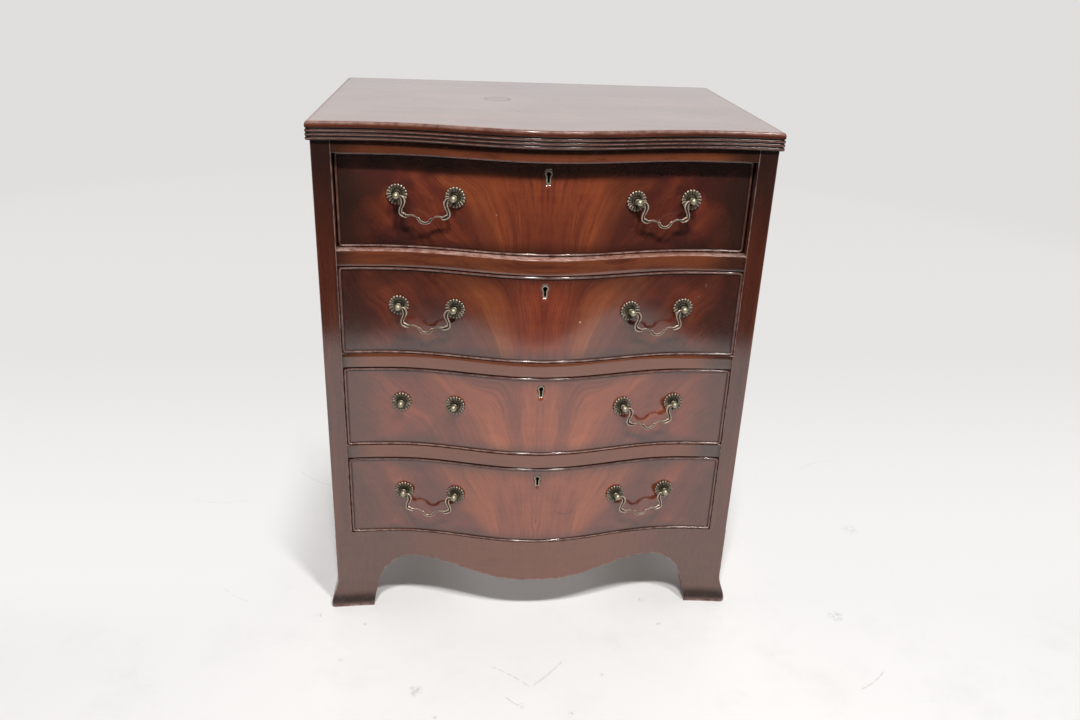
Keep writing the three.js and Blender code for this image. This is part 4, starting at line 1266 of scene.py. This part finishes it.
def make_drawer_front(number):
    """The veneered front of one drawer, with its bead and its liner."""
    body = f"drawer_{number}"
    low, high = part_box(f"{body}_front")
    face = low.y + BEAD_PROUD
    hollow = face + BOW_DEPTH
    thickness = high.y - hollow
    half = high.x - FRONT_INSET
    bottom, top = low.z + FRONT_INSET, high.z - FRONT_INSET
    edge = BEAD_WIDTH - FRONT_INSET
    margins = [edge, edge + 0.8 * MM, edge + 2.4 * MM]
    columns = with_margins(spread(FRONT_MARGIN - half, half - FRONT_MARGIN, FRONT_COLUMNS),
                           -half, half, margins)
    rows = with_margins(spread(bottom, top, FRONT_ROWS)[1:-1], bottom, top, margins)

    # Painted shade: a dark band beside the bead, where its shadow falls on the veneer.
    def dirt(x, z):
        side = min(half - abs(x), z - bottom, top - z)
        return 0.85 * (1 - ease(side, edge, edge + 2.2 * MM))

    mesh = slab(body, columns, rows, lambda x, z: (x, hollow - bow(x), z),
                lambda x, z: (x, hollow + thickness - bow(x), z), lambda x, z: 0.0, dirt)
    keyhole = high.z + DRAWER_CLEARANCE - KEYHOLE_DROP
    mesh = cut_keyhole(mesh, keyhole, face, thickness)
    veneer = flame_veneer(f"flame_veneer_{number}", (low.z + high.z) / 2, (high.z - low.z) / 2,
                          3.7 + 5.3 * number, *FRONT_LOOKS[number])
    place(f"{body}_front_veneered", mesh, body, veneer, (f"{body}_front",))
    make_bead(body, low, high, hollow)
    make_liner(body, face, keyhole)


for number in DRAWERS:
    make_drawer_front(number)
print("fronts:", [p.name for p in made_pieces if p.name.endswith("veneered")])

# %% [markdown]
# Some small parts repeat: the lobes round a rosette's rim, the tails of a dovetail joint, the
# pins of the back. Copies could be pasted by hand, but a tree that sets one shape round a ring
# or along a line keeps their number and spacing in two inputs.

# %% Ring and line trees
def ring_tree():
    """Sets the start mesh round a ring, facing outwards."""
    tree = Tree("lobes round a ring", [("Count", "Int"), ("Radius", "Float")])
    ring = tree.add("GeometryNodeMeshCircle",
                    {"Vertices": tree.given["Count"], "Radius": tree.given["Radius"]})
    facing = tree.add("FunctionNodeAlignRotationToVector",
                      {"Vector": tree.add("GeometryNodeInputPosition")}, axis="X")
    return tree.end(tree.add("GeometryNodeInstanceOnPoints", {
        "Points": ring, "Instance": tree.given["Geometry"], "Rotation": facing}))


def line_tree():
    """Repeats the start mesh along a straight line."""
    tree = Tree("copies along a line", [("Count", "Int"), ("Step", "Vector")])
    line = tree.add("GeometryNodeMeshLine",
                    {"Count": tree.given["Count"], "Offset": tree.given["Step"]})
    return tree.end(tree.add("GeometryNodeInstanceOnPoints",
                             {"Points": line, "Instance": tree.given["Geometry"]}))


RING_TREE = ring_tree()
LINE_TREE = line_tree()
print("ring and line trees:", len(RING_TREE.nodes), "and", len(LINE_TREE.nodes), "nodes")

# %% [markdown]
# Each handle hangs from two rosettes. A rosette is a dished plate with a scalloped, gadrooned
# rim, cast in one with its post, collar and ball. The round parts are a turned profile, as on a
# lathe, and the rim is one small lobe set round the ring.

# %% Rosette
ROSETTE_RADIUS = 14.2 * MM
BALL_PROJECTION = 12.2 * MM
BALL_RADIUS = 4.4 * MM
LOBE_COUNT = 18
LOBE_LENGTH = 8.4 * MM
LOBE_HEIGHT = 2.0 * MM
LOBE_RING = ROSETTE_RADIUS - LOBE_LENGTH / 2
LOBE_LIFT = 1.35 * MM
LATHE_STEPS = 54
POINT = 0.0002  # a turned shape's radius on its axis, in millimetres
PLATE_PROFILE = [
    (POINT, 0, 0, 0), (12.6, 0, 0, 0.2), (13.1, 0.5, 0.2, 0.3), (13.0, 1.2, 0.3, 0.3),
    (11.8, 1.7, 0.3, 0.5), (10.6, 1.55, 0.1, 0.9), (9.4, 1.1, 0, 0.8), (7.6, 0.9, 0.05, 0.4),
    (6.2, 1.0, 0.0, 0.6), (5.6, 1.5, 0.15, 0.3), (5.0, 1.7, 0.15, 0.3), (4.4, 1.5, 0.0, 0.8),
    (3.6, 1.6, 0, 0.9), (2.9, 2.0, 0, 0.7), (POINT, 2.1, 0, 0)]
POST_PROFILE = [
    (POINT, 1.2, 0, 0), (2.6, 1.2, 0, 0.8), (2.2, 2.4, 0, 0.6), (2.1, 4.0, 0, 0.3),
    (2.6, 4.8, 0.2, 0.2), (3.7, 5.5, 0.7, 0), (4.0, 6.2, 0.9, 0), (3.7, 6.9, 0.6, 0.1),
    (3.1, 7.5, 0.1, 0.8), (3.0, 7.8, 0, 1.0)]
BALL_NECK = 3.3


def turned(name, profile):
    """A turned shape about +Z from (radius, height, wear, dirt) rows, in millimetres."""
    rings = [[(x, y, height * MM) for x, y in circle(radius * MM, LATHE_STEPS)]
             for radius, height, _, _ in profile]
    return lofted(name, rings, *per_ring(profile, LATHE_STEPS))


def lobe():
    """One petal of the rim, pointing out along X, with the ring's radius at its own middle."""
    width_share = 0.94 * math.pi / LOBE_COUNT
    rings, wear, dirt = [], [], []
    for t in spread(0.03, 0.985, 11):
        x = (t - 0.5) * LOBE_LENGTH
        tip = math.sqrt(max(0.0, 1 - (max(0.0, t - 0.78) / 0.22) ** 2))
        root = ease(t, 0.0, 0.3)
        half = width_share * (LOBE_RING + x) * tip * (0.55 + 0.45 * root)
        tall = LOBE_HEIGHT * (0.35 + 0.65 * t) * tip * (0.3 + 0.7 * root)
        unit = circle(1.0, 12)
        rings.append([(x, half * across, tall * up) for across, up in unit])
        for _, up in unit:
            crest = max(0.0, up)
            wear.append(crest ** 2 * (0.25 * ease(t, 0.1, 0.4) + 0.55 * ease(t, 0.7, 0.9)))
            dirt.append(1 - ease(crest, 0.05, 0.6) * ease(t, 0.0, 0.25))
    return lofted("lobe", rings, wear, dirt)


def rosette_parts():
    """The rosette's plate with its lobes, and its post with the ball, about +Z."""
    ring = mesh_by_nodes("lobes", RING_TREE, lobe(), count=LOBE_COUNT, radius=LOBE_RING,
                         material=BRASS)
    ring.transform(Matrix.Translation((0, 0, LOBE_LIFT)))
    radius, middle = BALL_RADIUS / MM, BALL_PROJECTION / MM
    ball = [(radius * math.cos(a), middle + radius * math.sin(a), 0.8, 0)
            for a in spread(-math.acos(BALL_NECK / radius), math.radians(86), 16)]
    post = turned("post", POST_PROFILE + ball + [(POINT, middle + radius, 0.8, 0)])
    return joined_mesh("rosette", [turned("plate", PLATE_PROFILE), ring]), post


ROSETTE_PLATE, ROSETTE_POST = rosette_parts()
print("rosette:", len(ROSETTE_PLATE.polygons) + len(ROSETTE_POST.polygons), "faces")

# %% [markdown]
# A swan-neck bail is a flat casting. It leaves each ball sideways, turns down in a neck, out to a
# corner, and runs along a scrolled bar to a dip in the middle. Its two edges are raised like thin
# rims with a hollow between them. A curve with a bevel would give a wire of one width, so two
# outlines give the inner and the outer edge, paired at the corner and the hip, and a grooved
# section is drawn between each pair.

# %% Bail
BAIL_DROP = 35.8 * MM
BAIL_THICKNESS = 2.7 * MM
PIN_RADIUS = 1.1 * MM
PIN_REACH = (-1.6 * MM, 2.4 * MM)
BAIL_BALL_GAP = 0.35 * MM
BAIL_INNER_SHARES = [
    (0.878, 0.031), (0.805, 0.045), (0.74, 0.014), (0.675, -0.08), (0.656, -0.17), (0.675, -0.26),
    (0.72, -0.36), (0.775, -0.47), (0.78, -0.585), (0.72, -0.60), (0.63, -0.66), (0.46, -0.65),
    (0.37, -0.675), (0.275, -0.738), (0.19, -0.752), (0.15, -0.83), (0.075, -0.893), (0.0, -0.908)]
BAIL_OUTER_SHARES = [
    (0.878, -0.031), (0.842, -0.06), (0.828, -0.13), (0.82, -0.22), (0.845, -0.33), (0.89, -0.44),
    (0.91, -0.545), (0.905, -0.64), (0.87, -0.71), (0.79, -0.768), (0.675, -0.80), (0.61, -0.78),
    (0.56, -0.722), (0.43, -0.708), (0.35, -0.737), (0.28, -0.79), (0.24, -0.87), (0.19, -0.942),
    (0.115, -0.988), (0.045, -1.0), (0.0, -1.0)]
BAIL_INNER_MARKS = (0, 8, 13, 17)
BAIL_OUTER_MARKS = (0, 8, 15, 20)
BAIL_RUN_STEPS = (26, 18, 18)
SECTION_SHARES = [
    (0.0, 0.0), (0.015, -0.65), (0.09, -1.0), (0.25, -1.0), (0.35, -0.42), (0.5, -0.3),
    (0.65, -0.42), (0.75, -1.0), (0.91, -1.0), (0.985, -0.65), (1.0, 0.0), (0.985, 0.65),
    (0.9, 1.0), (0.5, 1.0), (0.1, 1.0), (0.015, 0.65)]
SECTION_WEAR = [0.2, 0.7, 1, 0.7, 0.1, 0, 0.1, 0.7, 1, 0.7, 0.2, 0.1, 0.1, 0, 0.1, 0.1]
SECTION_DIRT = [0.2, 0, 0, 0.2, 0.8, 0.85, 0.8, 0.2, 0, 0, 0.2, 0, 0, 0, 0, 0]


def smooth_line(points, samples=12):
    """A Catmull-Rom curve through the points, finely sampled."""
    ends = [points[0]] + list(points) + [points[-1]]
    line = []
    for p0, p1, p2, p3 in zip(ends, ends[1:], ends[2:], ends[3:]):
        for t in spread(0, 1, samples)[:-1]:
            line.append(tuple(
                0.5 * (2 * b + (c - a) * t + (2 * a - 5 * b + 4 * c - d) * t * t
                       + (3 * b - a - 3 * c + d) * t ** 3)
                for a, b, c, d in zip(p0, p1, p2, p3)))
    return line + [points[-1]]


def even_points(line, steps):
    """Points spaced evenly along a line."""
    gaps = [math.dist(a, b) for a, b in zip(line, line[1:])]
    marks = np.concatenate([[0.0], np.cumsum(gaps)])
    wanted = np.linspace(0.0, marks[-1], steps + 1)
    return list(zip(*(np.interp(wanted, marks, values) for values in zip(*line))))


def edge_line(shares, marks, half_span):
    """One edge of the bail from a ball to the middle, evenly stepped between its marks."""
    points = [(x * half_span, z * BAIL_DROP) for x, z in shares]
    edge = []
    for a, b, steps in zip(marks, marks[1:], BAIL_RUN_STEPS):
        run = even_points(smooth_line(points[a:b + 1]), steps)
        edge += run if not edge else run[1:]
    return edge


def bail_mesh(half_span):
    """A bail hanging from an axis through its own origin, along X."""
    stations = list(zip(edge_line(BAIL_INNER_SHARES, BAIL_INNER_MARKS, half_span),
                        edge_line(BAIL_OUTER_SHARES, BAIL_OUTER_MARKS, half_span)))
    stations += [((-a[0], a[1]), (-b[0], b[1])) for a, b in reversed(stations[:-1])]
    rings = [[(ax + (bx - ax) * u, BAIL_THICKNESS / 2 * v, az + (bz - az) * u)
              for u, v in SECTION_SHARES] for (ax, az), (bx, bz) in stations]
    parts = [lofted("casting", rings, SECTION_WEAR * len(rings), SECTION_DIRT * len(rings))]
    end = half_span - BALL_RADIUS - BAIL_BALL_GAP
    for _, sign in SIDES:
        parts.append(lofted("pin", [[(sign * (end + reach), y, z)
                                     for y, z in circle(PIN_RADIUS, 14)] for reach in PIN_REACH]))
    return joined_mesh("bail", parts)


print("bail section points:", len(SECTION_SHARES))

# %% [markdown]
# The handles are set square to the curved surface, as a fitter would set them. Each ball stands
# off along the surface's own direction, and the bail hangs plumb from the line between its two
# balls. The third drawer has lost its left bail, and only its rosettes are left.

# %% Handles on the drawers
HANDLE_CENTRE = 159.7 * MM
ROSETTE_SPACING = 77.8 * MM
ROSETTE_GAP = 0.6 * MM


def seat(x, hollow, axis_z):
    """Where a rosette sits at one place across a front, and where that puts its ball."""
    turn = math.atan(-bow_slope(x))
    out = Vector((math.sin(turn), -math.cos(turn), 0.0))
    foot = Vector((x, hollow - bow(x), axis_z)) + out * ROSETTE_GAP
    spot = (Matrix.Translation(foot) @ Matrix.Rotation(turn, 4, "Z")
            @ Matrix.Rotation(math.pi / 2, 4, "X"))
    return spot, foot + out * BALL_PROJECTION


def make_handles(number):
    """Four rosettes and their bails on one drawer."""
    body = f"drawer_{number}"
    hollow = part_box(f"{body}_front")[0].y + BEAD_PROUD + BOW_DEPTH
    axis_z = sum(corner.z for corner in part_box(f"{body}_rosette_left_outer")) / 2
    for side, sign in SIDES:
        balls = []
        ends = ("outer", "inner") if side == "left" else ("inner", "outer")
        for end, step in zip(ends, (-0.5, 0.5)):
            spot, ball = seat(sign * HANDLE_CENTRE + step * ROSETTE_SPACING, hollow, axis_z)
            balls.append(ball)
            node = f"{body}_rosette_{side}_{end}"
            plate, post = ROSETTE_PLATE.copy(), ROSETTE_POST.copy()
            plate.transform(spot)
            post.transform(spot)
            place(f"{node}_plate", plate, body, BRASS, (node,))
            place(f"{node}_ball", post, body, BALL_BRASS)
        node = f"{body}_bail_{side}"
        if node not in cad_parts:
            continue
        along = balls[1] - balls[0]
        mesh = bail_mesh(along.length / 2)
        mesh.transform(Matrix.Translation((balls[0] + balls[1]) / 2)
                       @ Matrix.Rotation(math.atan2(along.y, along.x), 4, "Z"))
        place(f"{node}_cast", mesh, f"bail_{number}_{side}", BAIL_BRASS, (node,))


for number in DRAWERS:
    make_handles(number)
print("handles:", sum(1 for p in made_pieces if p.name.endswith("_cast")), "bails")

# %% [markdown]
# The flat pieces inside keep the model's own meshes and only take a finish. Where the sides meet
# the front, a drawer shows its dovetails, so a small wedge is repeated up the joint on each
# side. The back panel is held by a line of round-headed pins.

# %% Inside pieces, dovetails and pins
TAIL_COUNT = 4
TAIL_LENGTH = 12 * MM
TAIL_PROUD = 0.12 * MM
PIN_COUNT = 6
PIN_HEAD = 2.6 * MM
PIN_MARGIN = 30 * MM
PIN_PROFILE = ((-0.3 * MM, PIN_HEAD), (0.3 * MM, PIN_HEAD), (0.7 * MM, PIN_HEAD * 0.7),
               (0.85 * MM, PIN_HEAD * 0.2))


def dress(node, material):
    """Gives a piece of the model its finish."""
    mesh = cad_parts[node].data
    mesh.materials.clear()
    mesh.materials.append(material)


def dovetail(width, sign, x, y):
    """One tail: a thin wedge, wide at its end, on the outer face of a drawer side."""
    root, tip = width * 0.34, width * 0.5
    flat = [(y, -root), (y - TAIL_LENGTH, -tip), (y - TAIL_LENGTH, tip), (y, root)]
    return lofted("tail", [[(x + sign * out, py, pz) for py, pz in flat]
                           for out in (-0.5 * MM, TAIL_PROUD)])


def make_linings(number):
    """Finishes and dovetails of one drawer."""
    body = f"drawer_{number}"
    dress(f"{body}_bottom", PANEL_WOOD)
    dress(f"{body}_back", LINING_CROSS)
    for side, sign in SIDES:
        dress(f"{body}_side_{side}", LINING)
        low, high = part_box(f"{body}_side_{side}")
        outside = high.x if sign > 0 else low.x
        pitch = (high.z - low.z) / TAIL_COUNT
        start = dovetail(pitch * 0.62, sign, outside, low.y + 0.5 * MM)
        start.transform(Matrix.Translation((0, 0, low.z + pitch / 2)))
        joint = mesh_by_nodes(f"{body}_tails_{side}", LINE_TREE, start, count=TAIL_COUNT,
                              step=(0.0, 0.0, pitch), material=LINING)
        place(f"{body}_dovetails_{side}", clean_mesh(joint), body, LINING)


def make_back():
    """Back panel, bottom board and the pins of the back."""
    dress("back_panel", CARCASE)
    dress("bottom_board", CARCASE)
    low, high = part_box("back_panel")
    rings = [[(x, y, z) for x, z in circle(radius, 12)] for y, radius in PIN_PROFILE]
    step = (high.x - low.x - 2 * PIN_MARGIN) / (PIN_COUNT - 1)
    heads = []
    for z in (low.z + PIN_MARGIN, high.z - 12 * MM):
        head = lofted("pin_head", rings)
        head.transform(Matrix.Translation((low.x + PIN_MARGIN, high.y, z)))
        heads.append(mesh_by_nodes("pins", LINE_TREE, head, count=PIN_COUNT,
                                   step=(step, 0.0, 0.0), material=IRON))
    place("back_panel_pins", joined_mesh("pins", heads), "case", IRON)


for number in DRAWERS:
    make_linings(number)
make_back()
print("pieces made:", len(made_pieces))

# %% [markdown]
# The chest stands on a pale, scuffed floor that fades into a pale backdrop. A curved sweep
# behind the chest would do, but one flat plane whose own light takes over with distance leaves
# no line. In the glossy fronts the near floor shows as a soft haze, low down.

# %% Floor
FLOOR_X = 4.0
FLOOR_FRONT = -4.0
FLOOR_BACK = 4.0
MIRRORED_FLOOR = -1.32  # nearer than this, only the camera sees the floor
SEEN_FLOOR = (-1.1, -0.75)  # where the floor in front turns pale for the camera
SEEN_SIDE = (0.95, 1.3)
SWEEP = (0.02, 0.42)  # where the floor turns into the backdrop, behind the chest
SIDE_SWEEP = (0.34, 0.48)
SHADOW_LIGHT = 0.075
FLOOR_LIGHT = 0.925
WALL_LIGHT = 0.79
FAR_SHARE = 0.945
WALL_WARMTH = (0.985, 0.975)
FLOOR_STAINS = [((0.182, -0.200), 0.007), ((0.199, -0.259), 0.005), ((0.094, -0.366), 0.004),
                ((-0.260, -0.248), 0.005), ((-0.175, -0.391), 0.013), ((-0.026, -0.424), 0.007),
                ((-0.147, -0.440), 0.006), ((0.042, -0.440), 0.005), ((-0.288, -0.328), 0.006),
                ((0.491, -0.247), 0.016), ((0.608, -0.008), 0.02), ((-0.334, -0.225), 0.007)]
FLOOR_SCRATCHES = [((-0.068, -0.345), (-0.011, -0.390), -0.003),
                   ((-0.008, -0.386), (0.043, -0.333), 0.002),
                   ((-0.048, -0.406), (-0.026, -0.426), 0.001),
                   ((-0.440, 0.215), (-0.350, 0.150), 0.01),
                   ((-0.620, 0.11), (-0.515, 0.106), 0.01),
                   ((0.585, 0.209), (0.680, 0.250), -0.01), ((0.467, -0.408), (0.52, -0.37), 0.004),
                   ((-0.497, -0.155), (-0.45, -0.19), 0.004)]


def floor_paint():
    """Scuffed paint near the chest with a faint painted glow in the chest's shadow, and beyond it
    the backdrop's own light.
    """
    paint = Finish("pale_floor")
    x, y, _ = paint.xyz
    scuffs = paint.noise(paint.point, 9.0, 6.0, 0.7)
    crumbs = paint.noise(paint.point, 150.0, 4.0, 0.7)
    flecks = paint.noise(paint.point, 34.0, 8.0, 0.75).rise(0.63, 0.74)
    soiled = flecks * scuffs.rise(0.45, 0.62)
    for at, size in FLOOR_STAINS:
        soiled = soiled.most(paint.spot(x, y, at, size) * crumbs.rise(0.44, 0.56) * 0.5)
    for start, end, sag in FLOOR_SCRATCHES:
        line = paint.scratch(x, y, start, end, 0.0016, sag)
        soiled = soiled.most(line * crumbs.rise(0.40, 0.54) * 0.42)
    tone = y.rise(-0.6, 0.4, 0.83, 0.93) - scuffs.rise(0.45, 0.8, 0.0, 0.05) - soiled * 0.4
    colour = paint.tint(tone, 0.996, 0.992)
    camera_ray, glossy_ray = (paint.add("ShaderNodeLightPath", output=label)
                              for label in ("Is Camera Ray", "Is Glossy Ray"))
    reach = abs(x)
    # Painted light: for the camera the floor glows a little, most under the middle of the apron,
    # which lightens the chest's shadow there.
    under = reach.rise(0.05, 0.21, 0.12, 0.0) * y.rise(-0.30, -0.18)
    paint.set(Base_Color=colour, Roughness=scuffs.rise(0.3, 0.7, 0.3, 0.42),
              Emission_Color=colour, Emission_Strength=camera_ray * (under + SHADOW_LIGHT))
    level = y.rise(-0.2, 0.95, FLOOR_LIGHT, WALL_LIGHT) * y.rise(1.2, 3.6, 1.0, FAR_SHARE)
    away = (x * x + y * y).root()
    level = level.least(away.rise(1.2, 3.4, FLOOR_LIGHT, WALL_LIGHT * FAR_SHARE)) - soiled * 0.18
    wall = paint.add("ShaderNodeEmission", {"Color": paint.tint(level, *WALL_WARMTH)})
    aside = reach.rise(*SIDE_SWEEP) * y.rise(-0.34, -0.12)
    far = y.rise(*SWEEP).most(aside) * camera_ray.most(glossy_ray)
    outer = y.rise(*SEEN_FLOOR, 1.0, 0.0).most(reach.rise(*SEEN_SIDE))
    far = far.most(outer * camera_ray)
    lit = Value(paint, paint.shader.outputs[0])
    both = paint.add("ShaderNodeMixShader", {0: far, 1: lit, 2: wall})
    unseen = y.below(MIRRORED_FLOOR) * (1.0 - camera_ray)
    clear = paint.add("ShaderNodeBsdfTransparent")
    paint.show(paint.add("ShaderNodeMixShader", {0: unseen, 1: both, 2: clear}))
    return paint.material


def make_floor():
    """A pale floor that fades into the backdrop behind the chest."""
    mesh = bpy.data.meshes.new("floor")
    corners = [(-FLOOR_X, FLOOR_FRONT, 0), (FLOOR_X, FLOOR_FRONT, 0), (FLOOR_X, FLOOR_BACK, 0),
               (-FLOOR_X, FLOOR_BACK, 0)]
    mesh.from_pydata(corners, [], [(0, 1, 2, 3)])
    mesh.materials.append(floor_paint())
    floor = put("floor", mesh)


make_floor()
print("floor marks:", len(FLOOR_STAINS), "stains and", len(FLOOR_SCRATCHES), "scratches")

# %% [markdown]
# Two lamps high in front stand for the ceiling lights, and they throw the shadows under the
# apron and below the top rail. The world is bright only low down behind the chest, so what the
# upper drawers mirror is dark and they keep their full colour.

# %% Lamps and world
LAMP_RISE = 2.2
LAMP_BACK = 0.55
LAMP_SIZE = 0.2
LAMP_COLOUR = (1.0, 0.985, 0.965)
LAMP_AIM = Vector((0.0, -0.2, 0.35))
LAMPS = (("ceiling_lamp_left", -0.06, 42), ("ceiling_lamp_right", 0.28, 34))


def add_lamp(name, aside, power):
    """A square lamp high in front, aimed at the chest."""
    lamp = put(name, bpy.data.lights.new(name, "AREA"))
    lamp.data.energy = power
    lamp.data.size = LAMP_SIZE
    lamp.data.color = LAMP_COLOUR
    lamp.location = LAMP_AIM + LAMP_RISE * Vector((aside, -LAMP_BACK, 1.0))
    lamp.rotation_euler = (LAMP_AIM - lamp.location).to_track_quat("-Z", "Y").to_euler()


def make_world():
    """Pale to the camera, bright low down behind the chest and dim elsewhere."""
    world = bpy.data.worlds.new("studio")
    bpy.context.scene.world = world
    world.use_nodes = True
    sky = Graph(world.node_tree)
    _, y, z = sky.split(sky.add("ShaderNodeTexCoord", output="Generated"))
    light = (y.rise(-0.25, 0.45, 0.035, 0.86) * z.rise(0.62, 0.9, 1.0, 0.25)
             * z.rise(0.06, 0.24, 0.78, 1.0))
    camera_ray = sky.add("ShaderNodeLightPath", output="Is Camera Ray")
    strength = sky.add("ShaderNodeMix", {0: camera_ray, 2: light, 3: WALL_LIGHT * FAR_SHARE})
    background = sky.add("ShaderNodeBackground",
                         {"Color": (1.0, *WALL_WARMTH, 1.0), "Strength": strength})
    sky.fill(sky.tree.nodes.new("ShaderNodeOutputWorld").inputs[0], background)


for lamp_name, lamp_aside, lamp_power in LAMPS:
    add_lamp(lamp_name, lamp_aside, lamp_power)
make_world()
bpy.context.scene.view_settings.view_transform = "Standard"
print("stage set")
